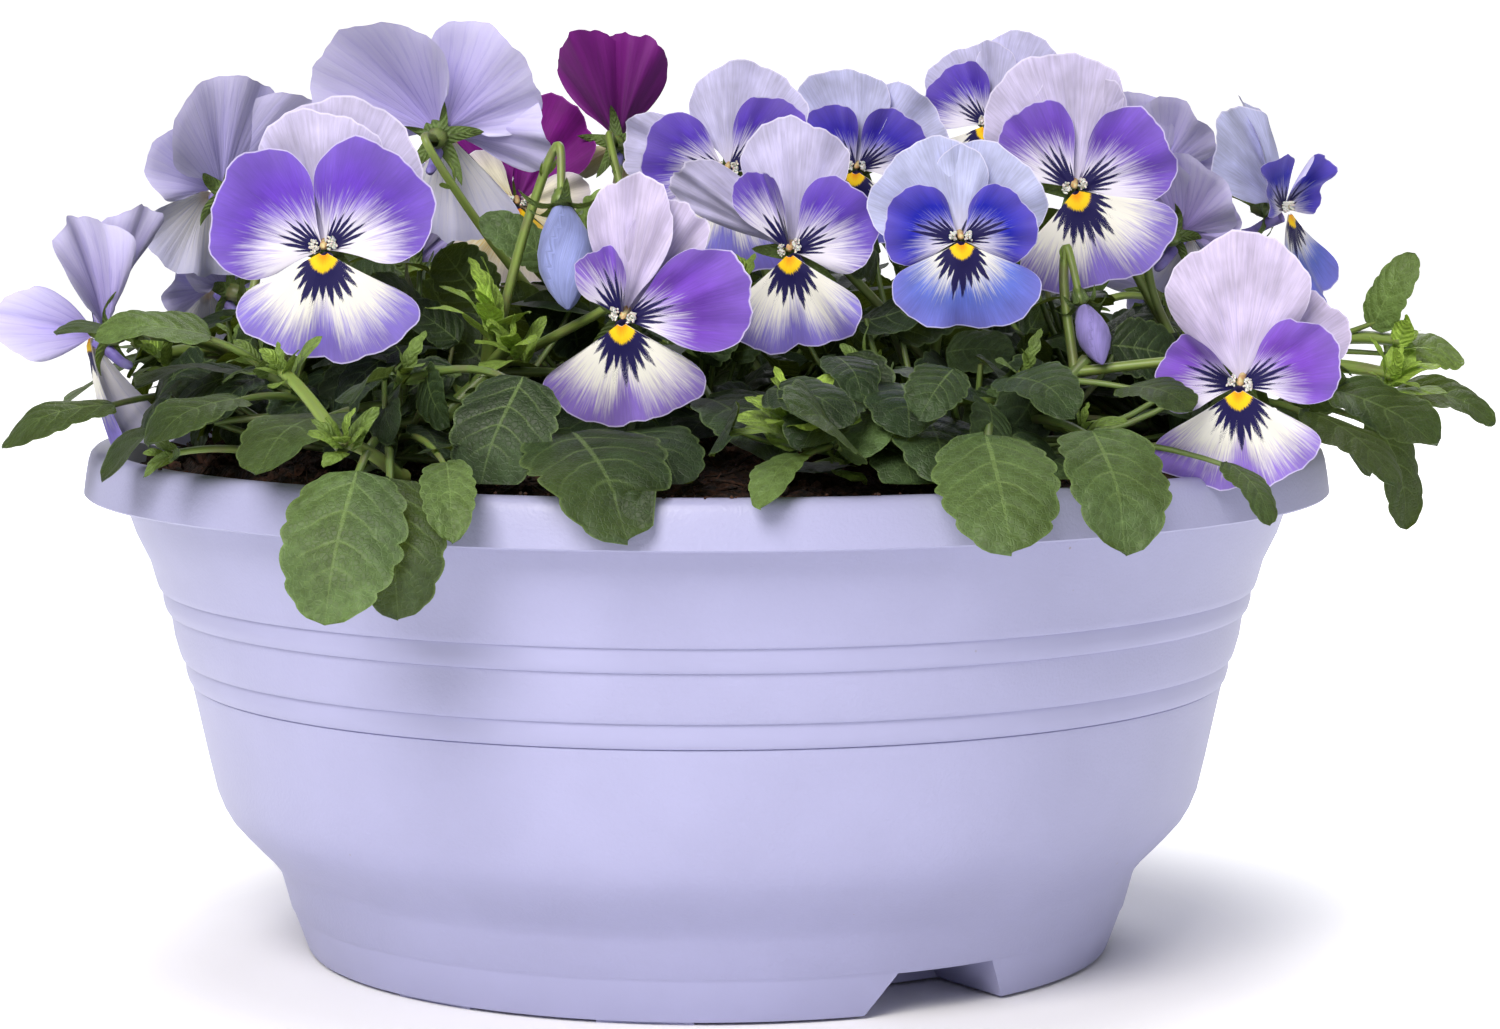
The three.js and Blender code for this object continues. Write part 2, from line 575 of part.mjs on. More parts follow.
// True if a leaf crosses a bloom, a bloom's stalk or another leaf.
function isCrowded({ blade, stalk }, others) {
  for (const { at, out, size } of BLOOM_FRAMES) {
    for (const sample of [...blade, ...stalk]) {
      const offset = sample.clone().sub(at);
      const depth = offset.dot(out);
      const radius = Math.sqrt(Math.max(0, offset.lengthSq() - depth * depth));
      const level = depth > -BLOOM_ROOM.behind && depth < BLOOM_ROOM.front;
      if (level && radius < BLOOM_ROOM.radius * size) return true;
    }
  }
  const near = (some, more, room) => some.some((p) => more.some((q) => p.distanceTo(q) < room));
  if (near(blade, STALK_SAMPLES, STALK_ROOM)) return true;
  return others.some(
    (other) =>
      near(blade, other.blade, LEAF_ROOM) ||
      near(blade, other.stalk, STALK_ROOM) ||
      near(stalk, other.blade, STALK_ROOM),
  );
}

// The plant whose root is nearest to a place.
function nearestPlant(x, y) {
  let best = 0;
  PLANTS.forEach(({ at }, i) => {
    const [bx, by] = PLANTS[best].at;
    if (Math.hypot(at[0] - x, at[1] - y) < Math.hypot(bx - x, by - y)) best = i;
  });
  return best;
}

// One try at a leaf of a domed layer. Blades point away from the bowl's middle, and droop towards its edge.
function latticeLeaf({ start, count, spread, height, fall, length, slim }, i, attempt, random) {
  const share = (i + 0.5) / count;
  const turn = (start + i * GOLDEN_TURN) % 360;
  const [swing, tilt, scale, shift] = [random() - 0.5, random() - 0.5, random() - 0.5, random()];
  const size = length * (1 + 0.3 * scale - 0.02 * attempt);
  const top = height - fall * share * share - 14 * shift * (attempt / LEAF_TRIES);
  const rise = 24 - 52 * share * share + 16 * tilt;
  const way = facing(turn + 60 * swing, rise);
  const ground = facing(turn + 6 * swing, 0).multiplyScalar(spread * share ** 0.44 + 8 * tilt);
  const middle = ground.clone().setZ(top);
  return {
    plant: nearestPlant(ground.x, ground.y),
    from: moved(middle, [way, -size / 2]).toArray(),
    to: moved(middle, [way, size / 2]).toArray(),
    width: size * slim,
    turn: turn + 60 * swing,
    lift: 78 - 40 * share + 20 * tilt,
  };
}

function allLeaves() {
  const leaves = [...HAND_LEAVES];
  const taken = leaves.map(leafSamples);
  for (const layer of LEAF_LAYERS) {
    const random = seededRandom(layer.seed);
    for (let i = 0; i < layer.count; i += 1) {
      for (let attempt = 0; attempt < LEAF_TRIES; attempt += 1) {
        const leaf = latticeLeaf(layer, i, attempt, random);
        const samples = leafSamples(leaf);
        if (isCrowded(samples, taken)) continue;
        leaves.push(leaf);
        taken.push(samples);
        break;
      }
    }
  }
  return leaves;
}

const SHOOTS = { count: 4, reach: 21, height: 113, rise: 8 }; // each plant's side shoots

// The side shoots of a plant, as curves that start in its crown.
function shootCurves({ at, turn }) {
  const root = vector(...at, CROWN.top - 5);
  const curves = [];
  for (let i = 0; i < SHOOTS.count; i += 1) {
    const way = facing(turn + (i * 360) / SHOOTS.count, 0);
    const knee = moved(root, [way, SHOOTS.reach * 0.45], [vector(0, 0, 1), SHOOTS.rise]);
    const tip = moved(root, [way, SHOOTS.reach]).setZ(SHOOTS.height);
    curves.push(new THREE.QuadraticBezierCurve3(root, knee, tip));
  }
  return curves;
}

// The place on its plant's shoots that a stalk grows from: near the stalk's end, and not above it.
function stalkStart(end, curves) {
  let start = null;
  let best = Infinity;
  for (const curve of curves) {
    for (const t of [0.3, 0.5, 0.7, 0.9]) {
      const point = curve.getPoint(t);
      const distance = point.distanceTo(end) + Math.max(0, point.z - end.z) * 2;
      if (distance < best) [start, best] = [point, distance];
    }
  }
  return start;
}

// The stalk of a bloom: up from a shoot, over behind the bloom and forward into the calyx.
function bloomStalk(frame, curves) {
  const end = moved(frame.at, [frame.out, CALYX.out - CALYX.depth * 0.4]);
  const behind = moved(end, [frame.out, -8], [vector(0, 0, 1), 2]);
  const root = stalkStart(behind, curves);
  const under = moved(behind.clone().lerp(root, 0.4), [frame.out, -3.5]);
  return new THREE.CatmullRomCurve3([root, under, behind, end]);
}

const SHOOT_CURVES = PLANTS.map(shootCurves);
const BLOOM_FRAMES = [...BLOOMS, ...FURLED].map((bloom) => ({ ...bloom, ...bloomFrame(bloom) }));
const STALK_CURVES = BLOOM_FRAMES.map((frame) => bloomStalk(frame, SHOOT_CURVES[frame.plant]));
const STALK_SAMPLES = STALK_CURVES.flatMap((curve) => curve.getPoints(20));
const LEAVES = allLeaves();

function plantSolid(plant, index) {
  const curves = SHOOT_CURVES[index];
  const pieces = [prism(...plant.at, CROWN.radius, 6, CROWN.foot, CROWN.top)];
  for (const curve of curves) pieces.push(stalkSolid(curve, STEM_RADIUS, 3, 2));
  BLOOM_FRAMES.forEach((frame, i) => {
    if (frame.plant !== index) return;
    pieces.push(stalkSolid(STALK_CURVES[i], STALK_RADIUS, 3, 5), calyxSolid(frame, frame.size));
  });
  for (const leaf of LEAVES.filter((l) => l.plant === index)) {
    pieces.push(leafSolid(leaf, stalkStart(vector(...leaf.from), curves)));
  }
  return joined(pieces).subtract(clearance);
}

// ---- The whole ----------------------------------------------------------------------------------

// A plain material.
function plain(name, color, roughness) {
  return new THREE.MeshStandardMaterial({ name, color, roughness, metalness: 0 });
}

const plastic = plain("bowl", "#b3b3e2", 0.45);
const peat = plain("soil", "#2c1c14", 1);
const leafGreen = plain("leaf", "#4c7038", 0.6);
const petalBlue = plain("petal", "#a79ee0", 0.7);
const petalMagenta = plain("petal_magenta", "#7a1a86", 0.7);

const part = new THREE.Group();
part.add(meshFrom("bowl", bowlSolid(), plastic));
part.add(meshFrom("soil", soilSolid(), peat));
PLANTS.forEach((plant, index) => part.add(meshFrom(plant.name, plantSolid(plant, index), leafGreen)));
for (const bloom of BLOOMS) {
  const material = bloom.name.includes("magenta") ? petalMagenta : petalBlue;
  part.add(meshFrom(bloom.name, bloomSolid(bloom), material));
}
for (const bud of FURLED) part.add(meshFrom(bud.name, furledSolid(bud), petalBlue));

export default part;
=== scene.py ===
"""A bowl of horned violets: a moulded bowl of lilac plastic, potting peat, seven leafy plants and blooms.

Lengths are in millimetres, in the frame's axes: +Z up, -Y to the front, and the origin in the middle of the
bowl's underside. Only the finished meshes, the camera and the lights are in metres.
"""

import logging
import math
from dataclasses import dataclass, replace
from enum import Enum

import bmesh
import bpy
import numpy as np
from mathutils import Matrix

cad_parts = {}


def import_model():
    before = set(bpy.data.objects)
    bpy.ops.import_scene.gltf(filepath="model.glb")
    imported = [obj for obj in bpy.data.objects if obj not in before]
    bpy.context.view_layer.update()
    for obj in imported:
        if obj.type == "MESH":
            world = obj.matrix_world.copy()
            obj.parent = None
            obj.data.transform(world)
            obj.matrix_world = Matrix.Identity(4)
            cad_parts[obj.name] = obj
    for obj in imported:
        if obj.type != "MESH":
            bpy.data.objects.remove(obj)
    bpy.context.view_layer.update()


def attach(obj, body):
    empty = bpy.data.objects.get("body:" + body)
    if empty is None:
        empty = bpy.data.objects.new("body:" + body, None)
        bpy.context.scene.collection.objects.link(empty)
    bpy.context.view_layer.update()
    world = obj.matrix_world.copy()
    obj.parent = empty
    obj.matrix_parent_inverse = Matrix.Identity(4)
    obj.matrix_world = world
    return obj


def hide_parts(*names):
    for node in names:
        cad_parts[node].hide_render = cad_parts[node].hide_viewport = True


LOG = logging.getLogger("violets")
MM = 0.001
FULL_TURN = 6.28  # radians, for a random phase
Vec = np.ndarray
Socket = bpy.types.NodeSocket


# ---- Directions, curves and random numbers -----------------------------------


def facing(turn: float, lift: float) -> Vec:
    """The unit vector that a turn from the front, towards +X, and a lift above the horizon point to.

    Args:
        turn: Degrees from the front.
        lift: Degrees above the horizon.

    Returns:
        The unit vector.
    """
    level = math.cos(math.radians(lift))
    turned = math.radians(turn)
    return np.array([math.sin(turned) * level, -math.cos(turned) * level, math.sin(math.radians(lift))])


def unit(vector: Vec) -> Vec:
    """A vector of length 1 that points the same way."""
    return vector / np.linalg.norm(vector)


def smooth(low: float, high: float, value: Vec) -> Vec:
    """A soft step from 0 at low to 1 at high."""
    share = np.clip((value - low) / (high - low), 0, 1)
    return share * share * (3 - 2 * share)


class SeededRandom:
    """A repeatable source of numbers from 0 to 1."""

    def __init__(self, seed: int) -> None:
        """Starts the source at a seed."""
        self.state = seed

    def __call__(self) -> float:
        """The next number."""
        self.state = (self.state * 1664525 + 1013904223) % 4294967296
        return self.state / 4294967296

    def between(self, low: float, high: float) -> float:
        """The next number, from low to high."""
        return low + (high - low) * self()


def arc_points(start: Vec, knee: Vec, end: Vec, shares: Vec) -> Vec:
    """Points, one a row, on the quadratic Bezier curve that the knee pulls."""
    t = np.asarray(shares, float)[:, None]
    return (1 - t) ** 2 * start + 2 * t * (1 - t) * knee + t**2 * end


def spline_points(knots: Vec, shares: Vec) -> Vec:
    """Points on a centripetal Catmull-Rom curve through the knots.

    Args:
        knots: The points that it goes through, one a row.
        shares: Where the points lie, from 0 to 1.

    Returns:
        One point a row.
    """
    padded = np.vstack([2 * knots[0] - knots[1], knots, 2 * knots[-1] - knots[-2]])
    result = []
    for share in shares:
        place = share * (len(knots) - 1)
        i = min(int(place), len(knots) - 2)
        t = place - i
        p0, p1, p2, p3 = padded[i : i + 4]
        d0, d1, d2 = (math.sqrt(np.linalg.norm(b - a)) for a, b in ((p0, p1), (p1, p2), (p2, p3)))
        m1 = ((p1 - p0) / d0 - (p2 - p0) / (d0 + d1) + (p2 - p1) / d1) * d1
        m2 = ((p2 - p1) / d1 - (p3 - p1) / (d1 + d2) + (p3 - p2) / d2) * d1
        square, cube = -3 * p1 + 3 * p2 - 2 * m1 - m2, 2 * p1 - 2 * p2 + m1 + m2
        result.append(p1 + m1 * t + square * t**2 + cube * t**3)
    return np.array(result)


def walk(origin: Vec, *legs: tuple[Vec, Vec]) -> Vec:
    """The points that pairs of distances, on any number of axes, and directions lead to."""
    return sum((np.asarray(distance)[..., None] * way for distance, way in legs), start=origin)


def link(name: str, data: bpy.types.ID) -> bpy.types.Object:
    """A new object of some data, in the scene."""
    thing = bpy.data.objects.new(name, data)
    bpy.context.scene.collection.objects.link(thing)
    return thing


# ---- Meshes ------------------------------------------------------------------


class Skin:
    """Grids of points gathered into one mesh, with the values that its finishes read.

    Each point carries marks, three numbers that say where it is on its petal or leaf, and a tone from 0 to 1.
    """

    def __init__(self) -> None:
        """Starts an empty mesh."""
        self.points: list[Vec] = []
        self.marks: list[Vec] = []
        self.tones: list[Vec] = []
        self.faces: list[Vec] = []
        self.slots: list[Vec] = []
        self.count = 0

    def add(
        self, grid: Vec, marks: Vec | None = None, tone: float = 0.0, slot: int = 0, wrap: bool = False
    ) -> None:
        """Adds a grid of points as a surface.

        Args:
            grid: The points, by row and column.
            marks: Three numbers for each point.
            tone: One number for the whole grid.
            slot: The number of its finish.
            wrap: True if the last column joins the first.
        """
        rows, columns = grid.shape[:2]
        index = self.count + np.arange(rows * columns).reshape(rows, columns)
        if wrap:
            index = np.hstack([index, index[:, :1]])
        corners = [index[:-1, :-1], index[:-1, 1:], index[1:, 1:], index[1:, :-1]]
        faces = np.stack(corners, axis=-1).reshape(-1, 4)
        self.points.append(grid.reshape(-1, 3))
        self.marks.append(np.zeros((rows * columns, 3)) if marks is None else marks.reshape(-1, 3))
        self.tones.append(np.full(rows * columns, tone))
        self.faces.append(faces)
        self.slots.append(np.full(len(faces), slot))
        self.count += rows * columns

    def tube(
        self, line: Vec, radii: Vec, sides: int = 8, tone: float = 0.0, slot: int = 0, ridge: float = 0.0
    ) -> None:
        """Adds a round stalk along a line of points.

        Args:
            line: The points, one a row.
            radii: The radius at each.
            sides: How many points go round.
            tone: One number for the whole stalk.
            slot: The number of its finish.
            ridge: How far its ridges stand out, as a share of the radius.
        """
        ways = np.gradient(line, axis=0)
        ways /= np.linalg.norm(ways, axis=1)[:, None]
        first = np.cross(ways[0], [0.0, 0.0, 1.0] if abs(ways[0][2]) < 0.9 else [1.0, 0.0, 0.0])
        normal = unit(first)
        around = np.arange(sides) / sides * 2 * math.pi
        swell = 1 + ridge * np.cos(around * 4)
        rows, marks = [], []
        for i, (point, way, radius) in enumerate(zip(line, ways, radii)):
            normal = unit(normal - way * np.dot(normal, way))
            side = np.cross(way, normal)
            ring = np.outer(np.cos(around) * swell, normal) + np.outer(np.sin(around) * swell, side)
            rows.append(point + radius * ring)
            share = np.full(sides, i / (len(line) - 1))
            marks.append(np.column_stack([share, around, np.full(sides, radius)]))
        self.add(np.array(rows), np.array(marks), tone, slot, wrap=True)

    def build(self, name: str, materials: list[bpy.types.Material]) -> bpy.types.Object:
        """Makes the object.

        Args:
            name: Its name.
            materials: Its finishes, in the order of the slot numbers.

        Returns:
            The object, smooth shaded, in metres.
        """
        mesh = bpy.data.meshes.new(name)
        mesh.from_pydata((np.vstack(self.points) * MM).tolist(), [], np.vstack(self.faces).tolist())
        for attribute, kind, key, values in (
            ("marks", "FLOAT_VECTOR", "vector", np.vstack(self.marks)),
            ("tone", "FLOAT", "value", np.concatenate(self.tones)),
        ):
            layer = mesh.attributes.new(attribute, kind, "POINT")
            layer.data.foreach_set(key, values.astype(np.float32).ravel())
        for material in materials:
            mesh.materials.append(material)
        mesh.polygons.foreach_set("material_index", np.concatenate(self.slots).astype(np.int32))
        mesh.polygons.foreach_set("use_smooth", np.ones(len(mesh.polygons), bool))
        mesh.validate()
        mesh.update()
        return link(name, mesh)


def seat(thing: bpy.types.Object, slot: str, *nodes: str) -> None:
    """Puts a finished piece in the frame.

    Args:
        thing: The piece.
        slot: The record's material slot of the piece; not used.
        nodes: The CAD nodes that it stands for.
    """
    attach(thing, "root")
    if nodes:
        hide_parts(*nodes)
    LOG.info("%s: %d faces", thing.name, len(thing.data.polygons))


# ---- Finishes ----------------------------------------------------------------


def linear(colour: str) -> tuple[float, float, float, float]:
    """A colour as Blender's shaders read it.

    Args:
        colour: An sRGB hex value, such as "#b4b3e4".

    Returns:
        Its linear red, green and blue, and alpha 1.
    """
    parts = [int(colour[i : i + 2], 16) / 255 for i in (1, 3, 5)]
    red, green, blue = (p / 12.92 if p <= 0.04045 else ((p + 0.055) / 1.055) ** 2.4 for p in parts)
    return red, green, blue, 1.0


EASED = {"interpolation_type": "SMOOTHSTEP"}  # a MapRange that starts and ends softly


def sized(place: Socket, size: float, detail: float | None = None) -> dict:
    """The inputs of a texture whose cells have a size in mm, and finer layers in it unless detail is None."""
    inputs = {"Vector": place, "Scale": 1 / (size * MM)}
    return inputs if detail is None else {**inputs, "Detail": detail}


class Graph:
    """A material's node tree, with one way to add a node."""

    def __init__(self, name: str) -> None:
        """Starts a material of that name with an empty tree."""
        self.material = bpy.data.materials.new(name)
        self.material.use_nodes = True
        self.tree = self.material.node_tree
        self.tree.nodes.clear()

    def add(self, kind: str, *sockets: object, named: dict | None = None, **settings: object) -> Socket:
        """Adds a node.

        Args:
            kind: The node's type without its first word, or a Math node's operation, which is in capitals.
            sockets: What goes into its first inputs: a socket, a value, or None to leave one as it is.
            named: What goes into inputs that are given by name or number.
            settings: The node's own settings.

        Returns:
            The node's first output.
        """
        if kind.isupper():
            kind, settings["operation"] = "Math", kind
        node = self.tree.nodes.new("ShaderNode" + kind)
        for key, value in settings.items():
            setattr(node, key, value)
        for key, value in [*enumerate(sockets), *(named or {}).items()]:
            if isinstance(value, Socket):
                self.tree.links.new(value, node.inputs[key])
            elif value is not None:
                node.inputs[key].default_value = value
        return node.outputs[0] if node.outputs else None

    def point_values(self) -> tuple[Socket, ...]:
        """The three marks of the shaded point, and its tone."""
        marks = self.add("SeparateXYZ", self.add("Attribute", attribute_name="marks").node.outputs["Vector"])
        return *marks.node.outputs, self.add("Attribute", attribute_name="tone").node.outputs["Fac"]

    def place(self) -> Socket:
        """The place of the shaded point on its object."""
        return self.add("TexCoord").node.outputs["Object"]

    def finish(self, surface: Socket) -> bpy.types.Material:
        """Joins the surface to the output, and hands over the material."""
        self.add("OutputMaterial", surface)
        return self.material


class PetalKind(Enum):
    """The three kinds of petal in a violet's bloom."""

    UPPER = "upper"
    SIDE = "side"
    LOWER = "lower"


@dataclass(frozen=True)
class PetalVelvet:
    """A petal's face, as it grew: cone-shaped cells stand on it like the pile of a velvet.

    To the eye it is deep in colour and matt, without a sharp highlight, and lets some of the light through.
    The colour runs in files of cells, which are drawn many cells wide here, so that they show.

    The marks of a petal are its distance from the throat in millimetres at size 1, the angle from its middle
    line in degrees, more than 0 towards the lower petal, and the share of the way from claw to margin.
    """

    kind: PetalKind
    name: str
    cool: str  # the ground colour of the bluest blooms
    warm: str  # and of the most purple ones
    pale: str  # the light patch round the throat
    line: str  # the lines that lead into the throat
    eye: str = "#fcd116"
    glow: str = "#f2a008"  # the eye's upper part
    margin: str = "#ece8fa"
    patch: float = 8.0  # mm that the pale patch reaches
    line_reach: float = 8.0  # mm that the longest lines reach
    line_spacing: float = 10.0  # degrees between lines
    line_spread: float = 40.0  # degrees from the middle where the lines end
    line_weight: float = 1.0  # where they begin to run together
    rosy: str = "#a18be0"  # a hint towards the margin
    through: float = 0.2  # share of the light that passes through

    def build(self) -> bpy.types.Material:
        """Builds the material."""
        g = Graph(self.name)
        values = g.point_values()
        reach, angle, share, tone = values
        # Every tone gets its own stretch of the noise.
        offset = g.add("MULTIPLY", tone, 83.0)
        # Cells run out from the claw in files, so every colour edge is feathered along them.
        along = g.add("MULTIPLY", reach, 0.1)
        files = g.add("CombineXYZ", g.add("MULTIPLY", angle, 0.45), along, offset)
        streak = g.add("TexNoise", named={"Vector": files, "Scale": 1.7, "Detail": 4.0, "Roughness": 0.65})
        blotch_place = g.add("CombineXYZ", g.add("MULTIPLY", angle, 0.035), along, offset)
        blotch = g.add("TexNoise", named={"Vector": blotch_place, "Scale": 1.5, "Detail": 2.0})
        feather = g.add("SUBTRACT", streak, 0.5)
        ground = g.add("MixRGB", tone, linear(self.cool), linear(self.warm))
        shade = g.add("MapRange", blotch, 0.3, 0.7, 0.8, 1.2)
        streaked = g.add("MapRange", streak, 0.3, 0.7, 0.84, 1.16)
        shades = g.add("MULTIPLY", shade, streaked)
        ground = g.add("MixRGB", 1.0, ground, shades, blend_type="MULTIPLY")
        paint = self.upper if self.kind is PetalKind.UPPER else self.marked
        colour = paint(g, ground, feather, values)
        thin = g.add("MapRange", share, 0.982, 0.994, 0.0, 0.6, **EASED)
        colour = g.add("MixRGB", thin, colour, linear(self.margin))
        bump = g.add("Bump", named={"Strength": 0.4, "Distance": 0.15 * MM, "Height": streak})
        skin = {"Base Color": colour, "Roughness": 0.62, "Specular IOR Level": 0.25, "Normal": bump}
        face = g.add("BsdfPrincipled", named={**skin, "Sheen Weight": 0.2, "Sheen Roughness": 0.4})
        glow = g.add("BsdfTranslucent", colour, bump)
        return g.finish(g.add("MixShader", self.through, face, glow))

    def upper(self, g: Graph, ground: Socket, feather: Socket, values: tuple[Socket, ...]) -> Socket:
        """The upper petals: nearly plain, a little paler inwards, with fine darker veins.

        Args:
            g: The material's graph.
            ground: The colour so far.
            feather: The feathered noise, round 0.
            values: The petal's marks and its tone.

        Returns:
            The colour.
        """
        reach, angle, share, _ = values
        vein_place = g.add("ADD", g.add("MULTIPLY", angle, 0.17), feather)
        wave = g.add("PINGPONG", vein_place, 0.5)
        vein = g.add("MapRange", wave, 0.0, 0.12, 0.42, 0.0, **EASED)
        faded = g.add("MapRange", share, 0.15, 0.95, 1.0, 0.0)
        vein = g.add("MULTIPLY", vein, faded)
        veined = g.add("MixRGB", vein, ground, linear(self.line))
        base = g.add("MapRange", g.add("MULTIPLY_ADD", feather, 2.0, reach), 1.0, 7.0, 0.8, 0.0)
        return g.add("MixRGB", base, veined, linear(self.pale))

    def marked(self, g: Graph, ground: Socket, feather: Socket, values: tuple[Socket, ...]) -> Socket:
        """The side and lower petals: a pale patch round the throat, dark lines into it, and the eye.

        Args:
            g: The material's graph.
            ground: The colour so far.
            feather: The feathered noise, round 0.
            values: The petal's marks and its tone.

        Returns:
            The colour.
        """
        reach, angle, share, tone = values
        lower = self.kind is PetalKind.LOWER
        aside = g.add("ABSOLUTE", angle)
        edge = g.add("MULTIPLY_ADD", feather, 13.0, reach)
        # The bluest blooms have less white than the others, as have the side petals of the most purple ones.
        middling = g.add("ABSOLUTE", g.add("SUBTRACT", tone, 0.5))
        if lower:
            patch = g.add("MapRange", tone, 0.0, 0.35, self.patch * 0.66, self.patch)
            # The lower petal is pale far out on both sides of its middle line, which keeps the ground colour.
            slant = g.add("MapRange", aside, 2.0, 15.0, 0.7, 1.0, **EASED)
        else:
            patch = g.add("MapRange", middling, 0.2, 0.5, self.patch, self.patch * 0.6)
            slant = g.add("MapRange", angle, -36.0, 36.0, 0.6, 1.2)
        limit = g.add("MULTIPLY", patch, slant)
        past = g.add("SUBTRACT", edge, limit)
        kept = g.add("MapRange", past, -4.5, 3.5, 1.0, 0.0, **EASED)
        rosy = g.add("MapRange", share, 0.62, 1.0, 0.0, 0.3)
        ground = g.add("MixRGB", rosy, ground, linear(self.rosy))
        colour = g.add("MixRGB", kept, ground, linear(self.pale))
        # Each line has its own length. They run together at the throat.
        wobble = g.add("MULTIPLY", feather, 0.7)
        place = g.add("ADD", g.add("MULTIPLY", angle, 1 / self.line_spacing), wobble)
        number = g.add("ROUND", place)
        away = g.add("ABSOLUTE", g.add("SUBTRACT", place, number))
        seed = g.add("CombineXYZ", number, tone, 0.0)
        draw = g.add("TexWhiteNoise", noise_dimensions="2D", named={"Vector": seed})
        longest = g.add("MapRange", draw, 0.0, 1.0, self.line_reach * 0.7, self.line_reach)
        sideways = g.add("MapRange", aside, self.line_spread * 0.3, self.line_spread, 1.0, 0.55)
        length = g.add("MULTIPLY", longest, sideways)
        used = g.add("DIVIDE", reach, length)
        left = g.add("SUBTRACT", 1.0, used)
        width = g.add("MULTIPLY", g.add("MAXIMUM", left, 0.0), self.line_weight)
        inside = g.add("SUBTRACT", width, away)
        dark = g.add("MapRange", inside, 0.0, 0.1, 0.0, 1.0, **EASED)
        inner = g.add("MapRange", aside, self.line_spread, self.line_spread + 5, 1.0, 0.0)
        dark = g.add("MULTIPLY", dark, inner)
        colour = g.add("MixRGB", dark, colour, linear(self.line))
        if not lower:
            return colour
        round_eye = g.add("MULTIPLY_ADD", aside, 0.017, reach)
        eye_edge = g.add("MULTIPLY_ADD", feather, 1.6, round_eye)
        eye = g.add("MapRange", eye_edge, 3.2, 3.6, 1.0, 0.0, **EASED)
        warmth = g.add("MapRange", eye_edge, 1.3, 2.5, 1.0, 0.0)
        gold = g.add("MixRGB", warmth, linear(self.eye), linear(self.glow))
        return g.add("MixRGB", eye, colour, gold)


@dataclass(frozen=True)
class PetalBack:
    """A petal's underside, as it grew: flat cells under a film of wax.

    To the eye it is paler and duller than the face, with veins that fan out from the claw.
    """

    name: str
    inner: str
    outer: str
    vein: str
    warm: str  # the inner colour of a bloom whose tone is 1
    through: float = 0.18

    def build(self) -> bpy.types.Material:
        """Builds the material."""
        g = Graph(self.name)
        reach, angle, share, tone = g.point_values()
        offset = g.add("MULTIPLY", tone, 57.0)
        along = g.add("MULTIPLY", reach, 0.1)
        files = g.add("CombineXYZ", g.add("MULTIPLY", angle, 0.3), along, offset)
        streak = g.add("TexNoise", named={"Vector": files, "Scale": 1.5, "Detail": 3.0})
        spread = g.add("MapRange", g.add("MULTIPLY_ADD", streak, 0.6, share), 0.4, 1.3, 0.0, 1.0)
        inner = g.add("MixRGB", tone, linear(self.inner), linear(self.warm))
        ground = g.add("MixRGB", spread, inner, linear(self.outer))
        place = g.add("ADD", g.add("MULTIPLY", angle, 0.15), streak)
        wave = g.add("PINGPONG", place, 0.5)
        vein = g.add("MapRange", wave, 0.0, 0.14, 0.5, 0.0, **EASED)
        faded = g.add("MapRange", share, 0.3, 1.0, 1.0, 0.1)
        colour = g.add("MixRGB", g.add("MULTIPLY", vein, faded), ground, linear(self.vein))
        bump = g.add("Bump", named={"Strength": 0.4, "Distance": 0.2 * MM, "Height": wave})
        face = g.add("BsdfPrincipled", named={"Base Color": colour, "Roughness": 0.7, "Normal": bump})
        return g.finish(g.add("MixShader", self.through, face, g.add("BsdfTranslucent", colour, bump)))


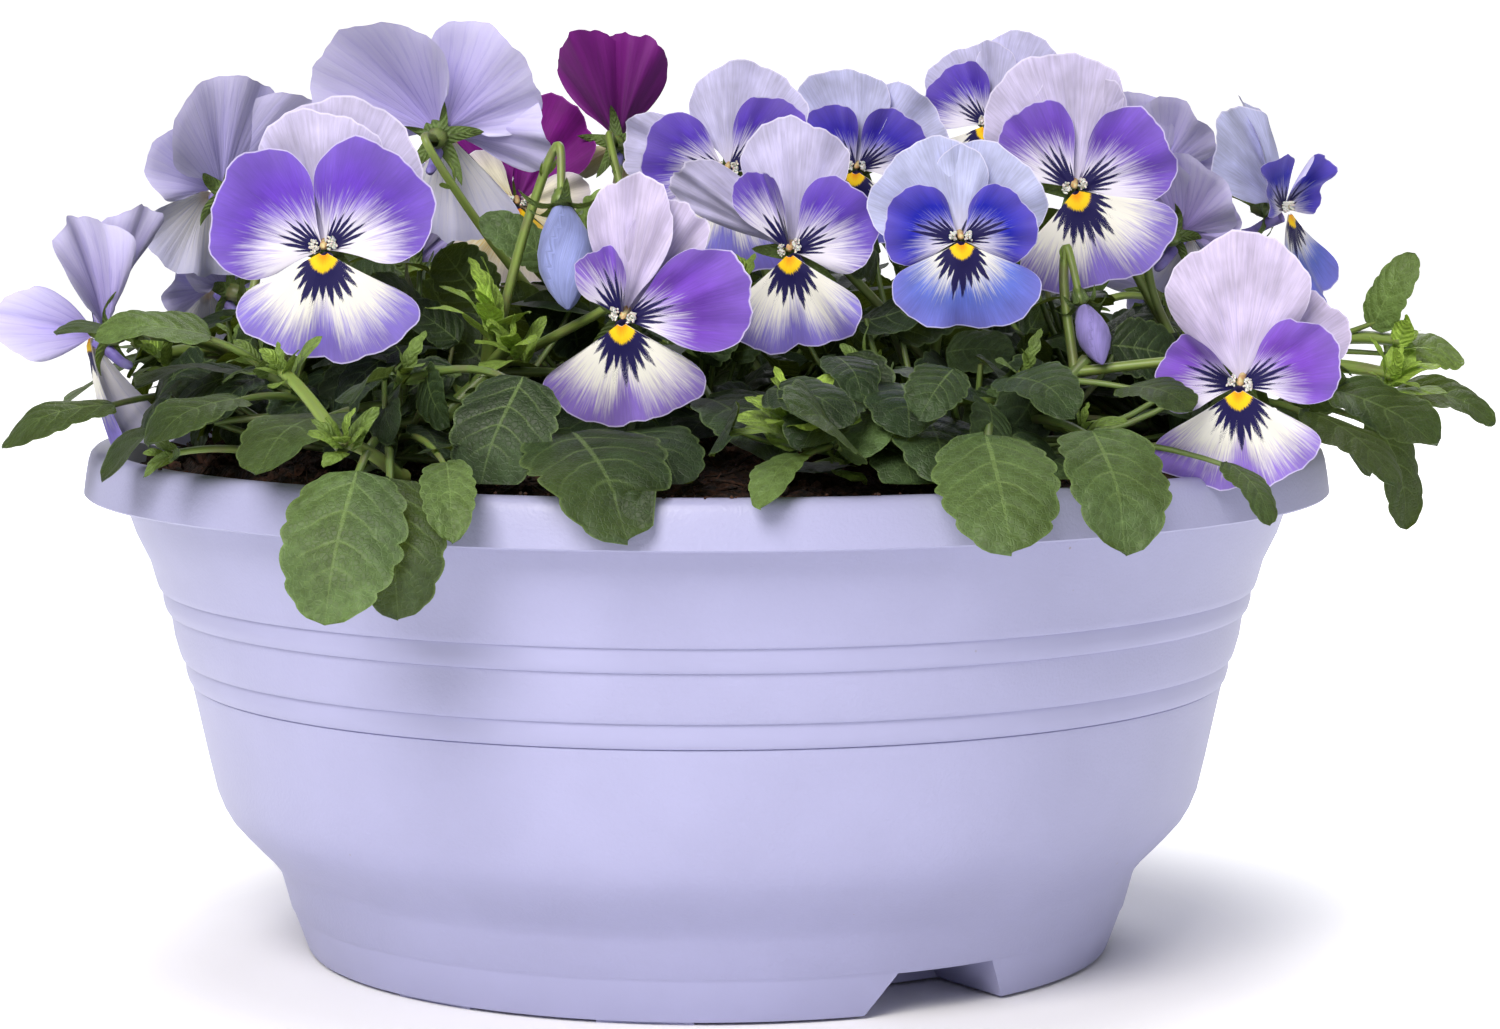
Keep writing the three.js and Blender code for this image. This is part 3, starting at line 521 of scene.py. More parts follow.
@dataclass(frozen=True)
class LeafSkin:
    """A violet's leaf, or a sepal: a thin skin that grew under a film of wax.

    To the eye it has a broad soft highlight, broken up by the net of its veins, and is darker and duller with
    age. Its darkest colour is darker still, as painted shade for the leaves deep inside the foliage. The marks
    of a leaf are the share of the way from its foot to its tip, the share of its half width from -1 to 1, and
    its length in millimetres. Its tone is 0 for the oldest leaves and those given the most painted shade, and
    1 for the youngest.
    """

    name: str = "leaf_skin"
    # the darkest colour: an ageing leaf's, made darker still as painted shade for the leaves deep in the
    # foliage
    old: str = "#18261a"
    grown: str = "#4b6039"
    young: str = "#9fbe4e"
    vein: str = "#86a060"
    side_veins: float = 5.5  # on each side
    mottle: float = 1.6  # mm across the mottling
    patch: float = 14.0  # mm across the lighter and darker patches
    net: float = 0.9  # mm across a mesh of the finest veins, drawn a little coarse so that it shows
    backlit: str = "#a9c52f"  # the light that comes through is yellower
    through: float = 0.16  # share of the light that passes through

    def build(self) -> bpy.types.Material:
        """Builds the material."""
        g = Graph(self.name)
        along, across, _, tone = g.point_values()
        aside = g.add("ABSOLUTE", across)
        grown = g.add("MapRange", tone, 0.0, 0.25, 0.0, 1.0)
        ground = g.add("MixRGB", grown, linear(self.old), linear(self.grown))
        fresh = g.add("MapRange", tone, 0.25, 1.0, 0.0, 1.0)
        ground = g.add("MixRGB", fresh, ground, linear(self.young))
        place = g.place()
        mottle = g.add("TexNoise", named=sized(place, self.mottle, 3.0))
        patches = g.add("TexNoise", named=sized(place, self.patch, 1.0))
        uneven = g.add("MapRange", mottle, 0.3, 0.7, 0.72, 1.26)
        patchy = g.add("MapRange", patches, 0.3, 0.7, 0.75, 1.25)
        both = g.add("MULTIPLY", uneven, patchy)
        ground = g.add("MixRGB", 1.0, ground, both, blend_type="MULTIPLY")
        # Side veins leave the midrib and bow towards the tip.
        bow = g.add("POWER", aside, 1.4)
        crooked = g.add("MULTIPLY_ADD", patches, 0.16, along)
        back = g.add("MULTIPLY_ADD", bow, -0.3, crooked)
        wave = g.add("PINGPONG", g.add("MULTIPLY", back, self.side_veins), 0.5)
        side = g.add("MapRange", wave, 0.0, 0.1, 1.0, 0.0, **EASED)
        inwards = g.add("MapRange", aside, 0.1, 0.95, 0.62, 0.1)
        faded = g.add("MULTIPLY", inwards, g.add("MapRange", along, 0.55, 0.85, 1.0, 0.0))
        side = g.add("MULTIPLY", side, faded)
        rib_width = g.add("MapRange", along, 0.0, 1.0, 0.05, 0.018)
        rib_place = g.add("DIVIDE", aside, rib_width)
        rib = g.add("MapRange", rib_place, 0.5, 1.3, 0.85, 0.0, **EASED)
        rib = g.add("MULTIPLY", rib, g.add("MapRange", along, 0.1, 0.9, 1.0, 0.3))
        veins = g.add("MAXIMUM", side, rib)
        colour = g.add("MixRGB", g.add("MULTIPLY", veins, 0.5), ground, linear(self.vein))
        margin = g.add("MapRange", aside, 0.93, 1.0, 0.0, 0.3)
        colour = g.add("MixRGB", margin, colour, linear(self.vein))
        # The finest veins make a net, which looks like grained leather.
        cells = g.add("TexVoronoi", feature="DISTANCE_TO_EDGE", named=sized(place, self.net))
        net = g.add("MapRange", cells, 0.0, 0.16, 0.0, 1.0, **EASED)
        netted = g.add("MapRange", net, 0.0, 1.0, 1.2, 0.96)
        colour = g.add("MixRGB", 1.0, colour, netted, blend_type="MULTIPLY")
        # The blade bulges a little between its veins.
        pillow = g.add("MapRange", wave, 0.0, 0.5, 0.0, 1.0, **EASED)
        height = g.add("MULTIPLY_ADD", mottle, 0.35, pillow)
        height = g.add("MULTIPLY_ADD", net, 0.4, height)
        height = g.add("MULTIPLY_ADD", veins, -0.5, height)
        bump = g.add("Bump", named={"Strength": 0.5, "Distance": 0.35 * MM, "Height": height})
        skin = {"Base Color": colour, "Roughness": 0.5, "Specular IOR Level": 0.3, "Normal": bump}
        face = g.add("BsdfPrincipled", named=skin)
        warm = g.add("MixRGB", 0.6, colour, linear(self.backlit))
        return g.finish(g.add("MixShader", self.through, face, g.add("BsdfTranslucent", warm, bump)))


@dataclass(frozen=True)
class StalkSkin:
    """A fleshy stalk, as it grew: ridged and full of sap.

    To the eye it is pale green and a little glassy, striped along its ridges, with tints of purple.
    """

    name: str = "stalk_skin"
    fresh: str = "#859a49"
    dull: str = "#4c6434"
    blush: str = "#6d5a55"
    patch: float = 6.0  # mm across the purple tints

    def build(self) -> bpy.types.Material:
        """Builds the material."""
        g = Graph(self.name)
        _, around, _, tone = g.point_values()
        ridges = g.add("COSINE", g.add("MULTIPLY", around, 4.0))
        stripe = g.add("MapRange", ridges, -1.0, 1.0, 0.82, 1.12)
        ground = g.add("MixRGB", tone, linear(self.dull), linear(self.fresh))
        ground = g.add("MixRGB", 1.0, ground, stripe, blend_type="MULTIPLY")
        place = g.place()
        noise = g.add("TexNoise", named=sized(place, self.patch, 2.0))
        tinted = g.add("MapRange", noise, 0.5, 0.75, 0.0, 0.55)
        colour = g.add("MixRGB", tinted, ground, linear(self.blush))
        flesh = {"Subsurface Weight": 0.12, "Subsurface Scale": 0.8 * MM}
        return g.finish(g.add("BsdfPrincipled", named={"Base Color": colour, "Roughness": 0.42, **flesh}))


@dataclass(frozen=True)
class PlainFlesh:
    """A small soft part of a bloom, such as its beard, its stigma or its spur: thin-walled cells full of sap.

    To the eye it has no grain and hardly a highlight, and glows a little from inside.
    """

    name: str
    colour: str
    second: str
    grain: float = 0.8  # mm

    def build(self) -> bpy.types.Material:
        """Builds the material."""
        g = Graph(self.name)
        place = g.place()
        noise = g.add("TexNoise", named=sized(place, self.grain, 2.0))
        mixed = g.add("MapRange", noise, 0.35, 0.65, 0.0, 1.0)
        colour = g.add("MixRGB", mixed, linear(self.colour), linear(self.second))
        flesh = {"Subsurface Weight": 0.2, "Subsurface Scale": 0.6 * MM}
        return g.finish(g.add("BsdfPrincipled", named={"Base Color": colour, "Roughness": 0.6, **flesh}))


@dataclass(frozen=True)
class MouldedPolypropylene:
    """Polypropylene, injection moulded in a tool with a fine spark-eroded grain.

    To the eye it is satin: the grain breaks up its highlight. The bands were moulded on smoother steel.
    """

    name: str = "lilac_polypropylene"
    colour: str = "#9fa0c4"
    dust: str = "#8d8579"
    grain: float = 0.65  # mm between the grain's bumps, drawn a little coarse so that it shows
    ripple: float = 22.0  # mm across the faint waves that cooling leaves
    speck: float = 9.0  # mm between specks of dust
    dusty: float = 40.0  # mm across the places that have any
    bands: tuple[tuple[float, float], ...] = ((51.1, 55.5), (64.3, 68.6), (0.0, 8.6))  # mm above the ground

    def build(self) -> bpy.types.Material:
        """Builds the material."""
        g = Graph(self.name)
        place = g.place()
        height = g.add("SeparateXYZ", place).node.outputs[2]
        grain = g.add("TexNoise", named=sized(place, self.grain, 2.0))
        ripple = g.add("TexNoise", named=sized(place, self.ripple, 2.0))
        rough = None
        for low, high in self.bands:
            above = g.add("MapRange", height, (low - 0.1) * MM, low * MM, 0.0, 1.0)
            below = g.add("MapRange", height, high * MM, (high + 0.1) * MM, 1.0, 0.0)
            band = g.add("MULTIPLY", above, below)
            rough = band if rough is None else g.add("MAXIMUM", rough, band)
        grained = g.add("MapRange", rough, 0.0, 1.0, 1.0, 0.15)
        relief = g.add("MULTIPLY", grain, grained)
        relief = g.add("MULTIPLY_ADD", ripple, 0.3, relief)
        bump = g.add("Bump", named={"Strength": 0.5, "Distance": 0.16 * MM, "Height": relief})
        cloud = g.add("MapRange", ripple, 0.3, 0.7, 0.965, 1.03)
        ground = g.add("MixRGB", 1.0, linear(self.colour), cloud, blend_type="MULTIPLY")
        # A few specks of peat dust stick to the grain.
        cells = g.add("TexVoronoi", named=sized(place, self.speck))
        near = g.add("MapRange", cells, 0.018, 0.035, 1.0, 0.0)
        some = g.add("TexNoise", named=sized(place, self.dusty, 1.0))
        speck = g.add("MULTIPLY", near, g.add("MapRange", some, 0.5, 0.6, 0.0, 0.7))
        colour = g.add("MixRGB", speck, ground, linear(self.dust))
        skin = {"Base Color": colour, "Roughness": 0.42, "Specular IOR Level": 0.45, "Normal": bump}
        return g.finish(g.add("BsdfPrincipled", named=skin))


@dataclass(frozen=True)
class PottingPeat:
    """Potting peat, milled, sieved and watered.

    To the eye it has no shine. It is nearly black where its crumbs' relief is low, in its hollows, and
    red-brown on its fibres, where the relief is high.
    """

    name: str = "potting_peat"
    hollow_colour: str = "#1c120d"
    crumb_colour: str = "#4f3122"
    crumb: float = 2.4  # mm
    fibre: float = 1.1  # mm

    def build(self) -> bpy.types.Material:
        """Builds the material."""
        g = Graph(self.name)
        place = g.place()
        crumbs = g.add("TexNoise", named=sized(place, self.crumb, 5.0))
        fibres = g.add("TexVoronoi", named=sized(place, self.fibre))
        # The same noise raises the crumbs and lightens them, so the colour is darker where the relief is
        # lower.
        mixed = g.add("MapRange", crumbs, 0.38, 0.68, 0.0, 1.0)
        colour = g.add("MixRGB", mixed, linear(self.hollow_colour), linear(self.crumb_colour))
        shade = g.add("MapRange", fibres, 0.0, 0.6, 0.5, 1.25)
        colour = g.add("MixRGB", 1.0, colour, shade, blend_type="MULTIPLY")
        relief = g.add("ADD", crumbs, fibres)
        bump = g.add("Bump", named={"Strength": 1.0, "Distance": 1.2 * MM, "Height": relief})
        skin = {"Base Color": colour, "Roughness": 0.95, "Normal": bump}
        return g.finish(g.add("BsdfPrincipled", named=skin))


# ---- The blooms --------------------------------------------------------------


@dataclass(frozen=True)
class Petal:
    """One petal of a bloom of size 1. Angles are clockwise from the top, seen from the front."""

    name: str
    kind: PetalKind
    angle: float
    length: float
    fan: float  # half its spread
    root: float  # its radius at the ends of its fan, as a share of its length
    flare: float  # how much longer it is beside its middle
    out: float  # how far it stands in front of the throat
    lean: float
    curl: float


PETALS = (
    Petal("upper_right", PetalKind.UPPER, 28, 21.5, 56, 0.4, 0.0, -2.8, -0.09, -0.08),
    Petal("upper_left", PetalKind.UPPER, -28, 21.5, 56, 0.4, 0.0, -1.9, -0.05, -0.08),
    Petal("side_right", PetalKind.SIDE, 63, 16, 53, 0.46, 0.0, -0.7, 0.1, -0.13),
    Petal("side_left", PetalKind.SIDE, -63, 16, 53, 0.46, 0.0, -0.7, 0.1, -0.13),
    Petal("lower", PetalKind.LOWER, 180, 16.0, 63, 0.58, 0.17, 0.5, 0.12, -0.12),
)
CLAW = 0.8  # mm from the throat, where the petals begin
# How much slimmer a petal starts, and the powers that round its end:
NARROWING = {PetalKind.UPPER: 0.6, PetalKind.SIDE: 0.3, PetalKind.LOWER: 0.1}
ROUNDNESS = {PetalKind.UPPER: (2.6, 0.5), PetalKind.SIDE: (2.4, 0.5), PetalKind.LOWER: (4.6, 0.4)}
CALYX_OUT = -4.0  # mm from the throat to the calyx, behind it
CALYX_REACH = 8.0  # mm from the calyx's middle to the sepals' tips
CALYX_NOTCH = 1.5  # and to the notches between them
CALYX_LEAN = -0.3  # how far the sepals lean back, as a share of their length
CALYX_DEPTH = 3.0


@dataclass(frozen=True)
class Pose:
    """How one petal of a bloom differs from the usual."""

    petal: str
    turn: float = 0.0  # degrees clockwise
    fan: float = 1.0
    length: float = 1.0
    bend: float = 0.0  # how far its tip comes forward, as a share of its length
    fold: float = 0.0  # how far its two halves fold forward
    twist: float = 0.0  # how far its clockwise half comes forward and the other one goes back


@dataclass(frozen=True)
class Bloom:
    """A bloom's place, the way it faces, its roll and size, and its colouring."""

    name: str
    plant: int
    at: tuple[float, float, float]
    turn: float
    lift: float
    roll: float
    size: float
    tone: float = 0.5
    magenta: bool = False
    poses: tuple[Pose, ...] = ()

    @property
    def place(self) -> Vec:
        """The throat's place."""
        return np.array(self.at, float)

    def directions(self) -> tuple[Vec, Vec, Vec]:
        """The ways out of its face, up, and to the right of one who looks at it."""
        out = facing(self.turn, self.lift)
        straight_up = facing(self.turn + 180, 90 - self.lift)
        straight_right = np.cross(straight_up, out)
        c, s = math.cos(math.radians(self.roll)), math.sin(math.radians(self.roll))
        return out, straight_up * c + straight_right * s, straight_right * c - straight_up * s


BLOOMS = (
    Bloom("bloom_far_left", 5, (-110, -30, 116), -124, 2, 4, 1.0, 0.55, poses=(
        Pose("upper_left", 2, 0.55, 1.1, -0.15, 0.45), Pose("upper_right", -10, 0.62, 1.05, 0.2, -0.35),
        Pose("side_right", 10, 0.62, 1.15, 0.5, -0.4), Pose("side_left", 14, 0.6, 0.9, 0.3, 0.3),
        Pose("lower", 0, 0.36, 1.25, -0.25, -0.5),
    )),
    Bloom("bloom_left_away", 5, (-92, 4, 141), -138, 12, -14, 1.05, 0.3, poses=(
        Pose("upper_left", -8, 0.9, 1.0, -0.2), Pose("side_left", -10, 0.8, 0.95, 0.1, 0.25),
    )),
    Bloom("bloom_front_left", 0, (-64.4, -74, 132.6), -4, 4, -9, 1.14, 0.62, poses=(
        Pose("side_right", -6, 1.05, 1.13), Pose("side_left", 8, 1.0, 1.15, 0.0, 0.0, 0.06),
        Pose("upper_right", -10, 0.95, 1.06), Pose("upper_left", 32, 0.8, 0.97), Pose("lower", 8, 1.0, 1.02),
    )),
    Bloom("bloom_tall_away", 6, (-47, -26, 152), 168, 14, -8, 1.16, 0.5, poses=(
        Pose("upper_right", 8, 0.85, 1.0, -0.3, -0.15), Pose("upper_left", -6, 0.85, 0.95, -0.1, 0.15),
        Pose("side_left", -14, 0.6, 1.15, -0.3, 0.3), Pose("side_right", 4, 0.8, 1.0, -0.2, 0.1),
        Pose("lower", 8, 0.6, 1.1, 0.0, 0.2),
    )),
    Bloom("bloom_magenta_front", 6, (-36.6, 30, 137.2), 6, 2, 4, 0.95, 0.5, True, (
        Pose("upper_left", -20, 0.7, 0.95), Pose("upper_right", -4, 0.7, 1.1), Pose("side_left", 0, 0.8, 0.9),
        Pose("side_right", 22, 0.75, 0.95), Pose("lower", 0, 0.9, 1.0),
    )),
    Bloom("bloom_magenta_away", 6, (-17, 42, 149), 172, 2, 6, 0.95, 0.5, True, (
        Pose("upper_right", -12, 0.5, 1.1, 0.0, 0.5), Pose("upper_left", 10, 0.5, 1.05, 0.1, 0.5),
        Pose("side_right", 50, 0.4, 0.8, 0.4, 0.4), Pose("side_left", -50, 0.4, 0.8, 0.4, 0.4),
        Pose("lower", 0, 0.4, 0.75, 0.3, 0.4),
    )),
    Bloom("bloom_front_low", 0, (-14.1, -90, 121.7), -12, -8, 14, 1.1, 0.85, poses=(
        Pose("upper_left", 20, 0.52, 0.97, -0.05, 0.25), Pose("upper_right", -14, 0.5, 0.86, -0.12, 0.1),
        Pose("side_left", 33, 0.6, 0.72, 0.15, 0.35), Pose("side_right", -4, 0.68, 1.24, -0.08, 0.1, 0.1),
        Pose("lower", -18, 0.92, 1.0, 0.0, -0.1),
    )),
    Bloom("bloom_middle_back", 6, (3.6, -18, 144.6), -8, 6, 0, 1.02, 0.4, poses=(
        Pose("upper_right", -13, 0.95, 0.94), Pose("upper_left", -44, 0.5, 0.97, -0.1),
        Pose("side_left", -16, 0.98, 1.0), Pose("side_right", -15, 0.85, 1.04), Pose("lower", 0, 0.82, 1.12),
    )),
    Bloom("bloom_middle_front", 1, (14.2, -60, 131.7), -16, 0, -16, 1.08, 0.5, poses=(
        Pose("upper_right", -12, 0.7, 0.98), Pose("upper_left", -13, 0.32, 1.05, 0.28, -0.25),
        Pose("side_left", 52, 0.5, 0.88, 0.1, 0.4), Pose("side_right", 17, 0.98, 0.93),
        Pose("lower", 10, 0.85, 0.98),
    )),
    Bloom("bloom_behind_middle", 6, (28, 12, 144.3), -10, 0, 4, 0.9, 0.15, poses=(
        Pose("upper_right", 12, 0.95, 0.95), Pose("side_left", 14, 0.9, 0.95),
        Pose("side_right", -10, 0.9, 1.0),
    )),
    Bloom("bloom_round_blue", 1, (42.8, -72, 134.2), 2, 2, -2, 0.97, 0.0, poses=(
        Pose("upper_right", 6, 1.08, 0.84), Pose("upper_left", -4, 1.1, 0.86),
        Pose("side_right", 6, 0.98, 0.84),
        Pose("side_left", -6, 0.98, 0.86), Pose("lower", 0, 1.04, 0.98),
    )),
    Bloom("bloom_behind_right", 3, (53.4, 24, 152.6), -20, 6, 8, 0.88, 0.35, poses=(
        Pose("side_left", 6, 0.95, 1.0), Pose("upper_left", -6, 1.0, 0.9),
    )),
    Bloom("bloom_right_front", 2, (64.6, -42, 141.9), -10, 2, -12, 1.14, 0.68, poses=(
        Pose("upper_left", 18, 0.92, 1.0), Pose("upper_right", -16, 0.7, 0.84),
        Pose("side_left", 36, 0.74, 0.95),
        Pose("side_right", 8, 0.84, 1.02), Pose("lower", -9, 0.98, 0.98),
    )),
    Bloom("bloom_right_pale", 2, (88, 30, 144), 150, 16, -6, 0.82, 0.5, poses=(
        Pose("upper_left", 4, 0.8, 1.0, -0.2), Pose("side_right", 0, 0.9, 1.0, 0.0, 0.2),
    )),
    Bloom("bloom_right_away", 2, (88, -8, 133.5), 142, 12, -16, 0.86, 0.85, poses=(
        Pose("upper_right", 6, 0.9, 0.95, -0.25, 0.2), Pose("upper_left", 0, 0.85, 0.95, -0.2, 0.1),
        Pose("side_left", 0, 0.8, 1.0, -0.15), Pose("lower", 0, 0.7, 0.9, -0.2, 0.3),
    )),
    Bloom("bloom_right_side", 2, (108, 2, 137), 60, -4, -4, 0.95, 0.05, poses=(
        Pose("upper_left", 0, 0.9, 1.0, -0.25), Pose("upper_right", 0, 0.9, 1.0, -0.3, 0.2),
        Pose("side_left", 8, 0.75, 0.95, 0.1, 0.2), Pose("side_right", 0, 0.75, 0.9, 0.35),
        Pose("lower", 0, 0.8, 1.1, 0.3),
    )),
    Bloom("bloom_front_right", 1, (88.9, -81, 110), -16, -8, 12, 1.1, 0.9, poses=(
        Pose("upper_left", 10, 0.84, 1.06), Pose("upper_right", 8, 0.7, 0.82, -0.1),
        Pose("side_left", -18, 0.85, 0.78, 0.1, 0.75), Pose("side_right", -8, 0.76, 1.0),
        Pose("lower", -14, 0.95, 1.0),
    )),
    Bloom("bloom_back_1", 5, (-97, 47, 121), -122, 14, 6, 1.05, 0.35, poses=(
        Pose("side_left", 8, 0.9, 1.08),
    )),
    Bloom("bloom_back_2", 4, (-62, 84, 123), -150, 12, -8, 1.1, 0.65, poses=(
        Pose("side_right", -8, 1.0, 1.1), Pose("upper_right", -8, 0.9, 1.0),
    )),
    Bloom("bloom_back_3", 4, (-22, 100, 116), 176, 8, 4, 1.05, 0.1, poses=(
        Pose("upper_right", 6, 1.05, 0.85), Pose("upper_left", -4, 1.05, 0.87),
        Pose("side_left", 0, 1.0, 0.9),
    )),
    Bloom("bloom_back_4", 3, (17, 88, 126), 170, 18, 10, 1.1, 0.8, poses=(
        Pose("side_left", 24, 0.75, 0.9, 0.1, 0.3), Pose("lower", -8, 0.95, 1.0),
    )),
    Bloom("bloom_back_5", 3, (56, 90, 119), 148, 8, -6, 1.02, 0.5, poses=(
        Pose("upper_left", -16, 0.85, 1.0),
    )),
    Bloom("bloom_back_6", 3, (93, 56, 119), 122, 10, 8, 1.08, 0.25, poses=(
        Pose("side_right", 8, 0.9, 1.0, 0.0, 0.2), Pose("upper_right", 4, 0.9, 0.96),
    )),
)
FURLED = (
    Bloom("furled_front", 0, (-24.5, -66, 136), 10, -66, 0, 1, 0.1),
    Bloom("furled_right", 1, (66, -56, 119), 30, -58, 0, 0.62, 0.9),
    Bloom("furled_back", 4, (-84, 70, 112), -130, -50, 0, 0.7, 0.7),
)


class BloomFinish(Enum):
    """The order of a bloom's finishes on its mesh."""

    UPPER = 0
    SIDE = 1
    LOWER = 2
    BEARD = 3
    STIGMA = 4
    SPUR = 5
    BACK = 6
    LOWER_BACK = 7


@dataclass
class BloomMaker:
    """Builds the open blooms: five ruffled petals, the bearded throat, its stigma and the spur."""

    rows: int = 22
    columns: int = 43
    ruffle: float = 0.8  # mm
    thickness: float = 0.25  # mm
    beard_hairs: int = 34  # in each tuft
    # Upwards and outwards from the throat, in mm:
    stigma_line: tuple[tuple[float, float], ...] = ((1.5, -2.6), (1.1, -1.2), (0.6, 0.0), (0.35, 0.3))
    spur_line: tuple[tuple[float, float], ...] = ((-1.2, -1.2), (-2.8, -4.0), (-4.6, -7.0), (-5.2, -9.5))

    def outline(self, petal: Petal, size: float, v: Vec, random: SeededRandom) -> Vec:
        """How far a petal's margin is from the throat.

        Args:
            petal: The petal.
            size: The bloom's size.
            v: The share of its half spread, from -1 to 1.
            random: Where its small differences come from.

        Returns:
            The distance in millimetres.
        """
        power, softness = ROUNDNESS[petal.kind]
        round_end = petal.root + (1 - petal.root) * (1 - np.abs(v) ** power) ** softness
        # One side is a little longer than the other, and the margin has lobes of three sizes.
        lean = 0.07 * math.sin(FULL_TURN * random()) * v
        lobes = 0.022 * np.sin(6.5 * v + FULL_TURN * random()) + 0.011 * np.sin(15 * v + FULL_TURN * random())
        lobes = lobes + 0.007 * np.sin(33 * v + FULL_TURN * random())
        reach = petal.length * size * round_end * (1 + petal.flare * v**2) * (1 + lean + lobes)
        if petal.kind is PetalKind.LOWER:
            # The margin is notched at its middle.
            reach = reach * (1 - 0.045 * np.exp(-((v / 0.1) ** 2)))
        return reach

    def petal_grid(self, bloom: Bloom, petal: Petal, pose: Pose, random: SeededRandom) -> tuple[Vec, Vec]:
        """A petal's points and their marks.

        Args:
            bloom: The bloom that it belongs to.
            petal: The petal.
            pose: How it differs from the usual.
            random: Where its small differences come from.

        Returns:
            The grid of points, and the marks that PetalVelvet reads.
        """
        out, up, right = bloom.directions()
        u = np.linspace(0, 1, self.rows)[:, None] ** 0.85
        v = np.sin(np.linspace(-1, 1, self.columns) * math.pi / 2)[None, :]
        slim = NARROWING[petal.kind]
        spread = petal.fan * v * (1 - slim + slim * np.sqrt(u))
        radius = CLAW + u * (self.outline(petal, bloom.size, v, random) - CLAW)
        angle = np.radians(petal.angle + spread)
        length = petal.length * bloom.size
        far = radius / length
        stand = petal.out + petal.lean * radius + petal.curl * radius**2 / length
        first, second = FULL_TURN * random(), FULL_TURN * random()
        waves = np.sin(6.4 * v + first) + 0.55 * np.sin(12.0 * v + second)
        stand = stand + self.ruffle * (u**3 + 0.25 * u) * waves
        stand = stand + length * (pose.bend * far**2 + (pose.fold * np.abs(v) ** 1.5 + pose.twist * v) * far)
        if petal.kind is PetalKind.LOWER:
            # A furrow runs down its middle, and a small hump lies in front of the throat.
            stand = stand - 0.9 * np.exp(-((v / 0.16) ** 2)) * smooth(0.25, 1.0, u) * far
            stand = stand + 0.75 * np.exp(-(((radius - 2.6) / 1.5) ** 2)) * np.exp(-((v / 0.55) ** 2))
        else:
            # A keel runs down its middle, and its blade is hollow on both sides.
            stand = stand + 0.5 * np.exp(-((v / 0.2) ** 2)) * np.sin(math.pi * u)
            stand = stand - 0.7 * (1 - v**2) * np.sin(math.pi * u) + 0.4 * np.cos(3 * v + first) * u
        grid = walk(bloom.place, (radius * np.cos(angle), up), (radius * np.sin(angle), right), (stand, out))
        towards_lower = -1.0 if petal.name == "side_left" else 1.0
        marks = np.stack([radius / bloom.size, spread * towards_lower, u + 0 * radius], axis=-1)
        return grid, marks

    def petal(self, skin: Skin, bloom: Bloom, petal: Petal, random: SeededRandom) -> None:
        """Adds a petal with its face and its underside.

        Args:
            skin: The bloom's mesh.
            bloom: The bloom.
            petal: The petal.
            random: Where its small differences come from.
        """
        pose = next((pose for pose in bloom.poses if pose.petal == petal.name), Pose(petal.name))
        posed = replace(
            petal,
            angle=petal.angle + pose.turn + random.between(-2, 2),
            length=petal.length * pose.length,
            fan=petal.fan * pose.fan,
            lean=petal.lean + random.between(-0.04, 0.04),
        )
        grid, marks = self.petal_grid(bloom, posed, pose, random)
        skin.add(grid, marks, bloom.tone, BloomFinish[petal.kind.name].value)
        depth = self.thickness * np.minimum(1, 6 * (1 - marks[..., 2:] ** 2) + 0.08)
        pale = petal.kind is PetalKind.LOWER or (bloom.magenta and petal.kind is PetalKind.SIDE)
        back = BloomFinish.LOWER_BACK if pale else BloomFinish.BACK
        skin.add((grid - depth * bloom.directions()[0])[:, ::-1], marks[:, ::-1], bloom.tone, back.value)

    def tuft(self, skin: Skin, bloom: Bloom, side: float, random: SeededRandom) -> None:
        """A tuft of club-shaped hairs at the foot of a side petal.

        Args:
            skin: The bloom's mesh.
            bloom: The bloom.
            side: 1 for the right tuft and -1 for the left one.
            random: Where the hairs' differences come from.
        """
        out, up, right = bloom.directions()
        for _ in range(self.beard_hairs):
            start = (
                bloom.place
                + right * side * random.between(0.9, 1.9) * bloom.size
                + up * random.between(0.0, 1.7) * bloom.size
                + out * random.between(-0.6, 0.0)
            )
            way = unit(out * 1.0 - right * side * random.between(-0.3, 0.6) + up * random.between(-0.6, 0.4))
            length = random.between(0.7, 1.1) * bloom.size
            line = np.array([start, start + way * length * 0.6, start + way * length])
            skin.tube(line, np.array([0.14, 0.22, 0.05]), 5, bloom.tone, BloomFinish.BEARD.value)

    def build(self, bloom: Bloom, materials: list[bpy.types.Material], seed: int) -> bpy.types.Object:
        """Builds one bloom.

        Args:
            bloom: The bloom.
            materials: Its finishes, in the order of BloomFinish.
            seed: Where its small differences start.

        Returns:
            Its object.
        """
        random = SeededRandom(seed)
        out, up, _ = bloom.directions()
        skin = Skin()
        for petal in PETALS:
            self.petal(skin, bloom, petal, random)
        for side in (-1.0, 1.0):
            self.tuft(skin, bloom, side, random)
        knob = np.array([bloom.place + up * a * bloom.size + out * b for a, b in self.stigma_line])
        radii = np.array([0.6, 0.6, 0.55, 0.05]) * bloom.size
        skin.tube(knob, radii, 10, bloom.tone, BloomFinish.STIGMA.value)
        path = np.array([bloom.place + up * a + out * b for a, b in self.spur_line])
        path = spline_points(path, np.linspace(0, 1, 12))
        radii = np.linspace(1.25, 0.75, 12) * np.r_[np.ones(11), 0.1]
        skin.tube(path, radii, 10, bloom.tone, BloomFinish.SPUR.value)
        return skin.build(bloom.name + "_petals", materials)


